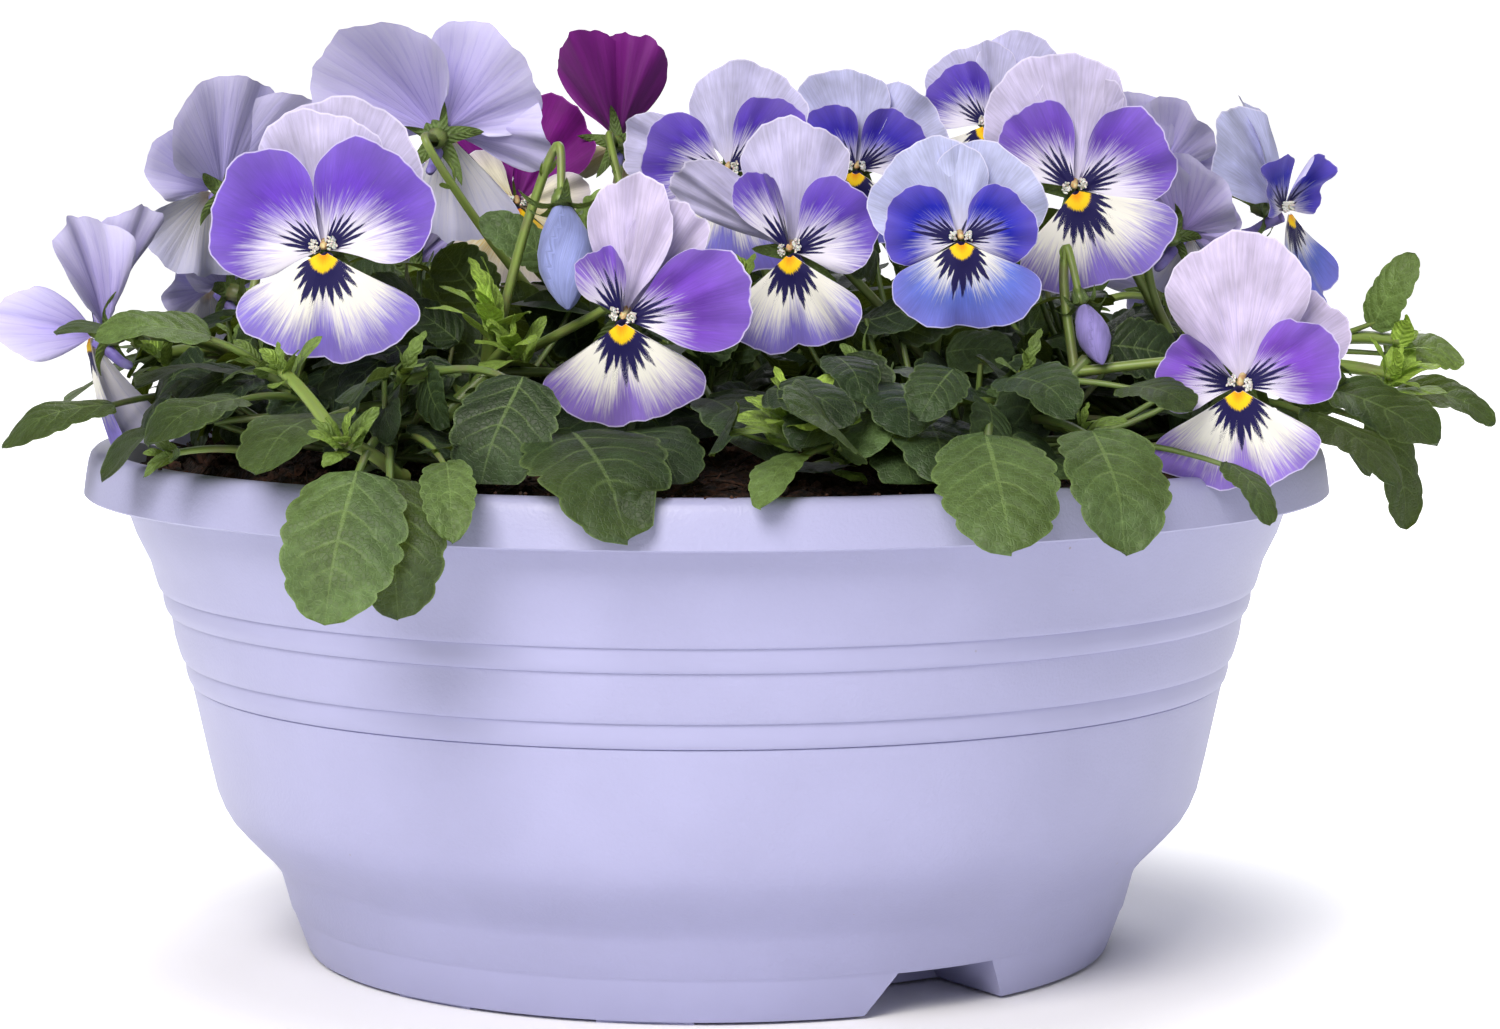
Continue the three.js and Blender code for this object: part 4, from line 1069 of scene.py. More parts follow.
@dataclass
class FurledMaker:
    """Builds the blooms that haven't opened, or are closing: petals rolled into a spindle."""

    profile: tuple[tuple[float, float], ...] = (
        (0, 1.9), (2, 3.0), (4.5, 4.1), (8, 4.8), (11, 4.6), (14.5, 3.2), (17, 1.6), (18.2, 0.3),
    )  # how far out from the calyx, and the radius there, in mm at size 1
    folds: int = 3
    twist: float = 1.4  # radians along the spindle
    rings: int = 30
    sides: int = 36

    def build(self, bud: Bloom, materials: list[bpy.types.Material]) -> bpy.types.Object:
        """Builds one furled bloom.

        Args:
            bud: The bloom.
            materials: Its finishes.

        Returns:
            Its object.
        """
        out, up, right = bud.directions()
        outs, radii = np.array(self.profile).T * bud.size
        steps = np.linspace(0, outs[-1], self.rings)
        widths = np.interp(steps, outs, radii)
        around = np.linspace(0, 2 * math.pi, self.sides, endpoint=False)
        share = steps / outs[-1]
        turned = around[None, :] + self.twist * share[:, None]
        # Each petal's edge laps over the next petal in a step.
        saw = (turned * self.folds / (2 * math.pi)) % 1.0
        swell = 0.84 + 0.22 * saw**0.7 * np.clip(4 * (1 - saw) ** 0.5, 0, 1)
        radius = widths[:, None] * swell
        foot = bud.place + out * (CALYX_OUT + 0.5)
        rolled = (radius * np.cos(around), up), (radius * np.sin(around), right)
        grid = walk(foot, (steps[:, None], out), *rolled)
        marks = np.stack([share[:, None] * 16 + 6 + 0 * radius, (saw - 0.5) * 60, 0.35 + 0.6 * saw], axis=-1)
        skin = Skin()
        skin.add(grid, marks, bud.tone, 0, wrap=True)
        return skin.build(bud.name + "_petals", materials)


# ---- The plants --------------------------------------------------------------


@dataclass(frozen=True)
class Plant:
    """Where a plant is rooted, and the turn of its first side shoot."""

    name: str
    at: tuple[float, float]
    turn: float


@dataclass(frozen=True)
class Leaf:
    """A leaf: its blade's foot and tip, its width, and the way its upper face looks."""

    plant: int
    start: tuple[float, float, float]
    end: tuple[float, float, float]
    width: float
    turn: float
    lift: float
    # A low tone gives a leaf the darker colours of age, and inside the foliage painted shade as well.
    tone: float = 0.08

    def axes(self) -> tuple[Vec, Vec, Vec, Vec, float]:
        """The foot, the ways along, out of and across the blade, and its length."""
        foot = np.array(self.start, float)
        along = np.array(self.end, float) - foot
        length = float(np.linalg.norm(along))
        along = along / length
        face = facing(self.turn, self.lift)
        normal = unit(face - along * np.dot(face, along))
        return foot, along, normal, np.cross(along, normal), length


PLANTS = (
    Plant("plant_front_left", (-56, -60), -75),
    Plant("plant_front_right", (46, -62), 20),
    Plant("plant_right", (86, -4), 90),
    Plant("plant_back_right", (46, 62), 150),
    Plant("plant_back_left", (-46, 62), -150),
    Plant("plant_left", (-86, 4), -90),
    Plant("plant_middle", (-4, -8), 10),
)
HAND_LEAVES = (
    Leaf(0, (-56, -112, 99), (-61, -124, 76), 20, -8, 30, 0.25),
    Leaf(0, (-51, -109, 97.5), (-50, -121, 77), 16, 6, 26),
    Leaf(0, (-42, -108, 100), (-40, -120, 89), 9, 4, 40, 0.3),
    Leaf(0, (-30, -97, 113), (-37, -106, 95.6), 17, -14, 16),
    Leaf(0, (-22, -98, 104), (-13, -121, 92), 23, 10, 52),
    Leaf(6, (-14, -84, 103), (-4, -105, 98.5), 16, 14, 54),
    Leaf(6, (0, -78, 108), (12, -96, 99), 17, 26, 50),
    Leaf(1, (15, -101, 100.5), (9, -120, 95.5), 8, -20, 46, 0.3),
    Leaf(1, (28, -86, 106), (24, -104, 103), 14, -14, 40, 0.25),
    Leaf(1, (35, -90, 107), (39, -108, 98.5), 15, 16, 34),
    Leaf(1, (45, -104, 104), (48, -122, 87), 20, 4, 30, 0.22),
    Leaf(1, (63, -96, 104), (67, -114, 88), 18, 16, 30, 0.18),
    Leaf(1, (50, -86, 112), (60, -99, 109), 13, 12, 54),
    Leaf(1, (70, -80, 110), (80, -92, 108), 11, 20, 58),
    Leaf(1, (87, -82, 97.5), (94, -92, 89), 8, 40, 30),
    Leaf(2, (106, -44, 103), (120, -58, 92), 17, 50, 34),
    Leaf(2, (112, -34, 106), (129, -42, 97), 19, 40, 48),
    Leaf(2, (120, -26, 101), (127, -30, 81), 13, 46, 10),
    Leaf(2, (125, -20, 105), (143, -24, 101), 12, 24, 60),
    Leaf(2, (124, -14, 111), (139, -12, 112), 12, 10, 58, 0.4),
    Leaf(2, (121, -18, 116), (127, -24, 130), 8, -30, 12, 0.3),
    Leaf(5, (-99, -42, 116), (-112, -55, 118), 11, -30, 60),
    Leaf(5, (-105, -38, 104), (-124, -46, 99), 12, -40, 54),
    Leaf(0, (-84, -70, 118), (-103, -74, 119), 12, -24, 62, 0.3),
    Leaf(0, (-78, -78, 108), (-92, -90, 103), 14, -40, 46),
    Leaf(6, (-23, -52, 132), (-13, -58, 142), 11, 8, 30, 0.4),
    Leaf(6, (-27, -46, 129), (-39, -49, 138), 8, -16, 34, 0.25),
)


@dataclass(frozen=True)
class LeafLayer:
    """A domed layer of leaves on a sunflower lattice."""

    count: int
    start: float
    spread: float
    height: float
    fall: float
    length: float
    slim: float
    seed: int


LEAF_LAYERS = (
    LeafLayer(43, 0, 116.5, 121, 20, 25, 0.68, 11),
    LeafLayer(22, 77, 115, 107, 8, 23, 0.76, 23),
)
GOLDEN_TURN = 137.508  # degrees
LEAF_TRIES = 10
LEAF_ROOM = 5.0  # mm between the sample points of two blades
STALK_ROOM = 3.6  # and of a blade and a stalk
BLOOM_ROOM = (20.0, 7.0, 14.0)  # a disc's radius, and how far it reaches behind and in front
ARCH, CUP = 0.07, 0.09  # how far a blade arches, as a share of its length, and cups, as one of its width
CLEAR_INSIDE, CLEAR_OUTSIDE, CLEAR_HEIGHT = 100.0, 116.5, 96.0  # the ring over the rim that leaves stay above
CROWN_TOP = 99.0
STEM_FOOT = 97.0  # how high the stalks leave the crown
FILL_FLOOR = 96.2  # fill leaves stay above this inside the rim
FILL_BLOOM_ROOM = (0.95, 45.0)  # the share of a bloom's room that they keep clear, and the mm in front of it
FILL_WIDTH = (0.55, 0.82)  # as a share of their length
ROSETTE_ROOM = 0.6  # the share of a bloom's room that young leaves keep clear
SHORT_LEAF = 11.0  # mm; shorter blades are spoon-shaped


@dataclass(frozen=True)
class FillLayer:
    """A layer of smaller leaves that fill the room between the others. Lengths are in millimetres."""

    tries: int
    seed: int
    inner: float
    outer: float
    low: float
    high: float
    length: tuple[float, float]
    rise: tuple[float, float]  # degrees that the blades point upwards
    lift: tuple[float, float]  # degrees that their faces look upwards
    # The fill leaves lie inside the foliage, so their low tones are painted shade as well as age.
    tone: tuple[float, float]
    ease: float  # the share of the usual room that they ask for


FILL_LAYERS = (
    FillLayer(500, 97, 10, 72, 114, 134, (12, 18), (0, 60), (5, 50), (0.0, 0.05), 0.4),
    FillLayer(1500, 80, 86, 104, 105, 114, (12, 18), (-62, -15), (8, 38), (0.0, 0.06), 0.36),
    FillLayer(2200, 77, 84, 113, 99, 119, (12, 20), (-40, 30), (15, 65), (0.0, 0.15), 0.42),
    FillLayer(1300, 78, 0, 104, 98, 112, (14, 24), (-20, 40), (30, 80), (0.0, 0.06), 0.45),
    FillLayer(1300, 79, 0, 100, 111, 125, (10, 18), (-10, 60), (15, 70), (0.0, 0.22), 0.4),
)


class Layout:
    """Where the shoots, the stalks and the leaves grow. It follows the rule that the solids follow."""

    shoot_count: int = 4
    shoot_reach: float = 21
    shoot_height: float = 113
    shoot_rise: float = 8

    def __init__(self) -> None:
        """Grows the shoots, the bloom stalks and then the leaves."""
        self.shoots = [self.shoot_curves(plant) for plant in PLANTS]
        self.heads = BLOOMS + FURLED
        self.places = np.array([head.place for head in self.heads])
        self.outs = np.array([head.directions()[0] for head in self.heads])
        self.sizes = np.array([head.size for head in self.heads])
        self.stalks = [self.bloom_knots(bloom) for bloom in self.heads]
        self.stalk_samples = np.vstack([spline_points(k, np.linspace(0, 1, 21)) for k in self.stalks])
        self.blades = np.zeros((0, 3))
        self.stems = np.zeros((0, 3))
        self.leaves = self.all_leaves()

    def shoot_curves(self, plant: Plant) -> list[tuple[Vec, Vec, Vec]]:
        """A plant's side shoots, each as the three points of a Bezier curve.

        Args:
            plant: The plant.

        Returns:
            The curves.
        """
        root = np.array([*plant.at, CROWN_TOP - 5])
        curves = []
        for i in range(self.shoot_count):
            way = facing(plant.turn + i * 360 / self.shoot_count, 0)
            knee = root + way * self.shoot_reach * 0.45 + np.array([0, 0, self.shoot_rise])
            tip = root + way * self.shoot_reach
            tip[2] = self.shoot_height
            curves.append((root, knee, tip))
        return curves

    def stalk_start(self, end: Vec, plant: int) -> Vec:
        """The place on a plant's shoots that a stalk grows from: near the stalk's end, and not above it.

        Args:
            end: The stalk's end.
            plant: The plant's number.

        Returns:
            The place.
        """
        points = np.vstack([arc_points(*curve, [0.3, 0.5, 0.7, 0.9]) for curve in self.shoots[plant]])
        distances = np.linalg.norm(points - end, axis=1) + 2 * np.maximum(0, points[:, 2] - end[2])
        return points[int(np.argmin(distances))]

    def bloom_knots(self, bloom: Bloom) -> Vec:
        """The points that a bloom's stalk goes through: from a shoot, over behind the bloom, into its calyx.

        Args:
            bloom: The bloom.

        Returns:
            The points, one a row.
        """
        out = bloom.directions()[0]
        end = bloom.place + out * (CALYX_OUT - CALYX_DEPTH * 0.4)
        behind = end - out * 8 + np.array([0, 0, 2])
        root = self.stalk_start(behind, bloom.plant)
        under = behind + (root - behind) * 0.4 - out * 3.5
        return np.array([root, under, behind, end])

    def clear_of_bowl(self, points: Vec) -> Vec:
        """Points of a leaf, lifted where they would sink into the soil or the rim.

        Args:
            points: The points, on any number of axes.

        Returns:
            The lifted points.
        """
        radius = np.hypot(points[..., 0], points[..., 1])
        over = (radius >= CLEAR_INSIDE) & (radius < CLEAR_OUTSIDE)
        lifted = points.copy()
        lifted[..., 2] = np.where(over, np.maximum(points[..., 2], CLEAR_HEIGHT), points[..., 2])
        return lifted

    def blade_point(self, leaf: Leaf, a: Vec, b: Vec) -> Vec:
        """Points on a blade.

        Args:
            leaf: The leaf.
            a: The share of the way from foot to tip.
            b: The share of the half width.

        Returns:
            The points.
        """
        foot, along, normal, side, length = leaf.axes()
        hump = ARCH * length * 4 * a * (1 - a) - CUP * leaf.width * b * b
        return walk(foot, (a * length, along), (b * leaf.width / 2, side), (hump, normal))

    def samples(self, leaf: Leaf) -> tuple[Vec, Vec]:
        """Points spread over a leaf's blade and along its stalk, which stand for them where room is measured.

        Args:
            leaf: The leaf.

        Returns:
            The blade's points and the stalk's.
        """
        a, b = np.meshgrid([0.05, 0.35, 0.65, 0.95], [-0.8, 0, 0.8], indexing="ij")
        blade = self.clear_of_bowl(self.blade_point(leaf, a, b)).reshape(-1, 3)
        foot = np.array(leaf.start, float)
        start = self.stalk_start(foot, leaf.plant)
        t = np.array([0.3, 0.5, 0.7, 0.9])[:, None]
        return blade, start + (foot - start) * t

    def crosses_bloom(self, points: Vec, room: float = 1.0, before: float = BLOOM_ROOM[2]) -> bool:
        """True if any point lies among a bloom's petals.

        Args:
            points: The points.
            room: The share of the usual room that is asked for.
            before: How far that room reaches in front of the bloom.

        Returns:
            True if one does.
        """
        offset = points[:, None] - self.places[None]
        depth = (offset * self.outs[None]).sum(-1)
        radius = np.sqrt(np.maximum(0, (offset**2).sum(-1) - depth**2))
        wide, behind = BLOOM_ROOM[0] * room, BLOOM_ROOM[1] * room
        return bool(np.any((depth > -behind) & (depth < before * room) & (radius < wide * self.sizes)))

    def is_crowded(self, blade: Vec, stalk: Vec, ease: float = 1.0) -> bool:
        """True if a leaf crosses a bloom, a bloom's stalk or another leaf.

        Args:
            blade: The blade's sample points.
            stalk: The stalk's sample points.
            ease: The share of the usual room that is asked for.

        Returns:
            True if it has too little room.
        """

        def near(some: Vec, more: Vec, room: float) -> bool:
            """True if any two of the points are nearer than room."""
            return bool(np.any(((some[:, None] - more[None]) ** 2).sum(-1) < (room * ease) ** 2))

        return (
            self.crosses_bloom(np.vstack([blade, stalk]))
            or near(blade, self.stalk_samples, STALK_ROOM)
            or near(blade, self.blades, LEAF_ROOM)
            or near(blade, self.stems, STALK_ROOM)
            or near(stalk, self.blades, STALK_ROOM)
        )

    def take(self, blade: Vec, stalk: Vec) -> None:
        """Marks the room that a leaf fills."""
        self.blades = np.vstack([self.blades, blade])
        self.stems = np.vstack([self.stems, stalk])

    def nearest_plant(self, x: float, y: float) -> int:
        """The number of the plant whose root is nearest to a place."""
        return min(range(len(PLANTS)), key=lambda i: math.hypot(PLANTS[i].at[0] - x, PLANTS[i].at[1] - y))

    def lattice_leaf(self, layer: LeafLayer, i: int, attempt: int, random: SeededRandom) -> Leaf:
        """One try at a leaf of a domed layer.

        Args:
            layer: The layer.
            i: The leaf's number in it.
            attempt: How many tries came before.
            random: Where its differences come from.

        Returns:
            The leaf.
        """
        share = (i + 0.5) / layer.count
        turn = (layer.start + i * GOLDEN_TURN) % 360
        # Later tries are smaller and lie lower.
        swing, tilt, scale, shift = random() - 0.5, random() - 0.5, random() - 0.5, random()
        size = layer.length * (1 + 0.3 * scale - 0.02 * attempt)
        top = layer.height - layer.fall * share * share - 14 * shift * (attempt / LEAF_TRIES)
        way = facing(turn + 60 * swing, 24 - 52 * share * share + 16 * tilt)
        middle = facing(turn + 6 * swing, 0) * (layer.spread * share**0.44 + 8 * tilt)
        middle[2] = top
        plant = self.nearest_plant(middle[0], middle[1])
        ends = [tuple(middle + way * size * k) for k in (-0.5, 0.5)]
        tone = 0.02 + 0.2 * (scale + 0.5) * (shift > 0.5)
        return Leaf(plant, *ends, size * layer.slim, turn + 60 * swing, 78 - 40 * share + 20 * tilt, tone)

    def all_leaves(self) -> list[Leaf]:
        """The leaves that are listed one by one, and those of the lattices that have room."""
        leaves = list(HAND_LEAVES)
        for leaf in leaves:
            self.take(*self.samples(leaf))
        for layer in LEAF_LAYERS:
            random = SeededRandom(layer.seed)
            for i in range(layer.count):
                for attempt in range(LEAF_TRIES):
                    leaf = self.lattice_leaf(layer, i, attempt, random)
                    samples = self.samples(leaf)
                    if not self.is_crowded(*samples):
                        leaves.append(leaf)
                        self.take(*samples)
                        break
        return leaves

    def fill_leaves(self, layer: FillLayer) -> list[Leaf]:
        """The leaves of a fill layer that have room.

        Args:
            layer: The layer.

        Returns:
            The leaves.
        """
        random = SeededRandom(layer.seed)
        leaves = []
        for _ in range(layer.tries):
            turn = 360 * random()
            radius = math.sqrt(random.between(layer.inner**2, layer.outer**2))
            size = random.between(*layer.length)
            way = facing(turn + random.between(-70, 70), random.between(*layer.rise))
            middle = facing(turn, 0) * radius
            middle[2] = random.between(layer.low, layer.high) - 7 * (radius / 110) ** 3
            ends = [tuple(middle + way * size * k) for k in (-0.5, 0.5)]
            width = size * random.between(*FILL_WIDTH)
            look = (turn + random.between(-50, 50), random.between(*layer.lift))
            tone = random.between(*layer.tone)
            leaf = Leaf(self.nearest_plant(middle[0], middle[1]), *ends, width, *look, tone)
            blade = self.samples(leaf)[0]
            inside = np.hypot(blade[:, 0], blade[:, 1]) < CLEAR_OUTSIDE
            hides = self.crosses_bloom(blade, *FILL_BLOOM_ROOM)
            sunk = np.any(inside & (blade[:, 2] < FILL_FLOOR))
            if hides or sunk or self.is_crowded(blade, blade[:1], layer.ease):
                continue
            leaves.append(leaf)
            self.take(blade, blade[:1])
        return leaves


@dataclass(frozen=True)
class Rosette:
    """A young shoot's tip with its crowded small leaves: where it is, the way it points, and its size.

    Its stem grows from the plant's shoots, or from its own place in the peat.
    """

    plant: int
    at: tuple[float, float, float]
    turn: float
    lift: float
    size: float
    count: int
    tone: float
    root: tuple[float, float, float] | None = None
    stem: float = 1.2


ROSETTES = (
    Rosette(0, (-36.5, -64, 122), 20, 72, 16.5, 12, 1.0),
    Rosette(0, (-33, -68, 116), -30, 50, 14, 8, 0.85),
    Rosette(1, (14.2, -97, 105.5), -20, 60, 18, 14, 1.0),
    Rosette(1, (22, -92, 99.5), 30, 42, 11, 7, 0.7),
    Rosette(0, (-59, -104, 103), -10, 40, 10, 8, 0.6, (-50, -90, 95), 1.05),
    Rosette(0, (-70, -91, 113.5), -40, 50, 11, 8, 0.6, (-59, -103, 101.5), 1.1),
    Rosette(0, (-90, -83, 99.0), -60, 8, 9, 6, 0.4, (-72, -72, 97.5), 0.6),
    Rosette(2, (124, -24, 108), 40, 55, 13, 10, 0.95),
    Rosette(2, (126, -20, 114), 70, 60, 10, 8, 1.0),
    Rosette(1, (62, -84, 103), 10, 55, 11, 7, 0.6),
    Rosette(5, (-98, -30, 112), -60, 55, 12, 7, 0.55),
    Rosette(6, (6, -30, 124), 0, 80, 12, 8, 0.7),
    Rosette(4, (-52, 84, 112), 190, 60, 13, 9, 0.75),
    Rosette(3, (40, 92, 108), 150, 55, 13, 9, 0.7),
    Rosette(3, (70, 62, 114), 130, 65, 12, 8, 0.75),
    Rosette(4, (-80, 52, 112), -130, 60, 12, 8, 0.6),
)


class LeafForm(Enum):
    """The shapes of a violet's leaves: teeth on each side, their depth, and the power of the outline."""

    BROAD = (6.0, 0.13, 2.3)
    SPOON = (3.0, 0.12, 1.8)
    COMB = (3.0, 0.62, 1.6)


class PlantFinish(Enum):
    """The order of a plant's finishes on its mesh."""

    LEAF = 0
    STALK = 1
    SEPAL = 2


@dataclass
class PlantMaker:
    """Builds a plant: its crown, shoots, leaves, bloom stalks, calyces, bracts and stipules."""

    layout: Layout
    rows: int = 37
    columns: int = 9
    small_rows: int = 15
    small_columns: int = 5
    small: float = 13.0  # mm; blades shorter than this take fewer points
    sprout_leaves: int = 5  # at each joint of a shoot
    joints: tuple[tuple[int, float, float], ...] = ((6, 8.5, 0.2), (10, 9.5, 0.3), (13, 11.0, 0.5))
    crown: tuple[tuple[float, float], ...] = (
        (84, 2.6), (88, 3.1), (93, 3.3), (97, 3.2), (99, 2.4), (100.2, 0.3),
    )  # heights and radii

    def blade(self, skin: Skin, leaf: Leaf, random: SeededRandom, form: LeafForm = LeafForm.BROAD) -> None:
        """Adds a blade: arched along its midrib, and wavy at its edges.

        Args:
            skin: The plant's mesh.
            leaf: The leaf.
            random: Where its small differences come from.
            form: Its shape.
        """
        _, _, normal, side, length = leaf.axes()
        is_small = length < self.small
        a = np.linspace(0, 1, self.small_rows if is_small else self.rows)[:, None]
        b = np.linspace(-1, 1, self.small_columns if is_small else self.columns)[None, :]
        teeth, depth, power = form.value
        middle = a**0.85 * 2 - 1
        outline = np.clip(1 - np.abs(middle) ** power, 0, 1) ** 0.5
        forward = a + 0.015 * np.sin(20 * a + FULL_TURN * random())
        scallop = np.abs(np.sin(math.pi * (teeth * forward + 0.5 + 0.12 * np.sign(b)))) ** 0.6
        half = outline * (1 - depth + depth * scallop) + 0.04 * (1 - a)
        lopsided = 1 + 0.07 * math.sin(FULL_TURN * random()) * np.sign(b)
        points = self.layout.blade_point(leaf, a + 0 * b, b * half * lopsided)
        # The edges wave, the halves fold up along the midrib, the tip curls down, and the blade bows sideways.
        phase, bow = FULL_TURN * random(), random.between(-0.05, 0.05)
        wave = 0.04 * leaf.width * np.abs(b) ** 3 * np.sin(9 * a + phase + 2 * np.sign(b))
        fold = random.between(0.02, 0.14) * leaf.width * np.abs(b * half)
        curl = -random.between(0.02, 0.16) * length * smooth(0.45, 1.0, a) ** 2
        points = walk(points, (wave + fold + curl, normal), (bow * length * a**2 + 0 * b, side))
        points = self.layout.clear_of_bowl(points)
        marks = np.stack([a + 0 * b, b + 0 * a, np.full(points.shape[:2], length)], axis=-1)
        skin.add(points, marks, leaf.tone, PlantFinish.LEAF.value)

    def leaf(self, skin: Skin, leaf: Leaf, random: SeededRandom, low: bool) -> None:
        """Adds a leaf with its stalk.

        Args:
            skin: The plant's mesh.
            leaf: The leaf.
            random: Where its small differences come from.
            low: True if the stalk comes up from the crown, and not from a shoot.
        """
        foot, along, _, _, length = leaf.axes()
        self.blade(skin, leaf, random, LeafForm.SPOON if length < SHORT_LEAF else LeafForm.BROAD)
        if low:
            start = np.array([*PLANTS[leaf.plant].at, STEM_FOOT])
            knee = start + (foot - start) * 0.75
            knee[2] = STEM_FOOT + 0.15 * (foot[2] - STEM_FOOT)
        else:
            start = self.layout.stalk_start(foot, leaf.plant)
            reach = np.linalg.norm(foot - start)
            knee = start + (foot - start) * 0.6 - along * reach * 0.1 + np.array([0, 0, reach * 0.06])
        line = arc_points(start, knee, foot + along * length * 0.1, np.linspace(0, 1, 9))
        line = self.layout.clear_of_bowl(line)
        thick = 0.35 + 0.02 * length
        radii = np.linspace(thick * 1.2, thick * 0.7, 9)
        skin.tube(line, radii, 6, 0.3 + leaf.tone * 0.7, PlantFinish.STALK.value)

    def young_leaves(self, skin: Skin, rosette: Rosette, random: SeededRandom) -> None:
        """Adds the young leaves and comb-shaped stipules that crowd a shoot's tip.

        Args:
            skin: The plant's mesh.
            rosette: The shoot's tip.
            random: Where their differences come from.
        """
        tip = np.array(rosette.at, float)
        axis = facing(rosette.turn, rosette.lift)
        across = unit(np.cross(axis, [0.3, 0.2, 1.0]))
        other = np.cross(axis, across)
        for i in range(rosette.count):
            share = (i + 0.5) / rosette.count
            turn = math.radians(i * GOLDEN_TURN + random.between(-20, 20))
            spread = 0.25 + 1.15 * share
            way = unit(axis + (across * math.cos(turn) + other * math.sin(turn)) * spread)
            size = rosette.size * random.between(0.6, 1.0) * (0.55 + 0.45 * share)
            start = tip - axis * share * rosette.size * 0.35 + way * 0.6
            face = unit(axis * 1.1 - way * 0.6 + np.array([0, 0, 0.4]))
            look = (math.degrees(math.atan2(face[0], -face[1])), math.degrees(math.asin(face[2])))
            comb = i % 3 == 2
            width = size * (random.between(0.28, 0.4) if comb else random.between(0.38, 0.62))
            tone = min(1.0, rosette.tone * random.between(0.8, 1.1) * (1.1 - 0.35 * share))
            leaf = Leaf(rosette.plant, tuple(start), tuple(start + way * size), width, *look, tone)
            blade = self.layout.samples(leaf)[0]
            if not self.layout.crosses_bloom(blade, ROSETTE_ROOM):
                self.blade(skin, leaf, random, LeafForm.COMB if comb else LeafForm.SPOON)

    def calyx(self, skin: Skin, bloom: Bloom) -> None:
        """Adds the five pointed sepals, with the short ears that they have behind.

        Args:
            skin: The plant's mesh.
            bloom: The bloom.
        """
        out, up, right = bloom.directions()
        centre = bloom.place + out * CALYX_OUT
        # Below 0 the share of a sepal's length runs down the ear behind the calyx.
        s = np.linspace(-0.35, 1, 12)[:, None]
        b = np.linspace(-1, 1, 5)[None, :]
        for i in range(5):
            angle = math.radians(i * 72)
            ray = up * math.cos(angle) + right * math.sin(angle)
            side = np.cross(ray, out)
            tip = CALYX_REACH * bloom.size - CALYX_NOTCH
            reach = CALYX_NOTCH * (1 + np.minimum(s, 0) * 0.8) + np.maximum(s, 0) * tip
            droop = CALYX_LEAN * (reach - CALYX_NOTCH) + 1.2 * np.sin(math.pi * np.maximum(s, 0))
            stand = np.where(s < 0, s * 8.5, droop) - 0.35
            ear = 1.25 * np.sqrt(np.clip(1 + s / 0.36, 0, 1))
            width = np.where(s < 0, ear, 1.45 * np.clip(1 - s, 0, 1) ** 0.6) * bloom.size
            grid = walk(centre, (reach + 0 * b, ray), (stand + 0.25 * b**2, out), (width * b, side))
            marks = np.stack([np.clip(s, 0, 1) + 0 * b, b + 0 * s, np.full(grid.shape[:2], 8.0)], axis=-1)
            skin.add(grid, marks, 0.45, PlantFinish.SEPAL.value)
        cup = np.array([centre - out * 3.2, centre - out * 2, centre - out * 0.6, centre + out * 0.2])
        skin.tube(cup, np.array([0.9, 1.6, 1.9, 0.3]) * bloom.size**0.5, 9, 0.5, PlantFinish.STALK.value)

    def bloom_stalk(self, skin: Skin, knots: Vec, plant: int, random: SeededRandom) -> None:
        """Adds a bloom's stalk with its pair of small bracts.

        Args:
            skin: The plant's mesh.
            knots: The points that the stalk goes through.
            plant: The plant's number.
            random: Where the bracts' differences come from.
        """
        line = spline_points(knots, np.linspace(0, 1, 26))
        skin.tube(line, np.linspace(0.9, 0.68, 26), 9, 0.8, PlantFinish.STALK.value, ridge=0.07)
        way = unit(line[12] - line[11])
        for turn in (60.0, -110.0):
            side = unit(np.cross(way, facing(turn, 0)))
            start = line[12] + side * 0.8
            end = start + side * 2.2 + way * random.between(2.6, 3.6)
            bract = Leaf(plant, tuple(start), tuple(end), 0.9, turn, 20, 0.6)
            self.blade(skin, bract, random, LeafForm.SPOON)

    def shoot(self, skin: Skin, index: int, curve: tuple[Vec, Vec, Vec], random: SeededRandom) -> None:
        """Adds a side shoot, with young leaves at its joints and its tip.

        Args:
            skin: The plant's mesh.
            index: The plant's number.
            curve: The shoot's curve.
            random: Where its differences come from.
        """
        line = arc_points(*curve, np.linspace(0, 1, 14))
        skin.tube(line, np.linspace(1.7, 1.15, 14), 10, 0.45, PlantFinish.STALK.value, ridge=0.06)
        for step, size, tone in self.joints:
            way = line[step] - line[step - 1]
            turn, lift = math.degrees(math.atan2(way[0], -way[1])), math.degrees(math.asin(unit(way)[2]))
            joint = Rosette(index, tuple(line[step]), turn, lift, size, self.sprout_leaves, tone)
            self.young_leaves(skin, joint, random)

    def rosette(self, skin: Skin, rosette: Rosette, random: SeededRandom) -> None:
        """Adds a young shoot that ends in a rosette.

        Args:
            skin: The plant's mesh.
            rosette: The rosette.
            random: Where its differences come from.
        """
        tip = np.array(rosette.at, float)
        if rosette.root is None:
            start = self.layout.stalk_start(tip, rosette.plant)
        else:
            start = np.array(rosette.root, float)
        knee = (start + tip) / 2 + np.array([0, 0, 0.12 * np.linalg.norm(tip - start)])
        line = self.layout.clear_of_bowl(arc_points(start, knee, tip, np.linspace(0, 1, 12)))
        skin.tube(line, np.linspace(1.2, 0.9, 12) * rosette.stem, 9, 0.7, PlantFinish.STALK.value, ridge=0.07)
        self.young_leaves(skin, rosette, random)

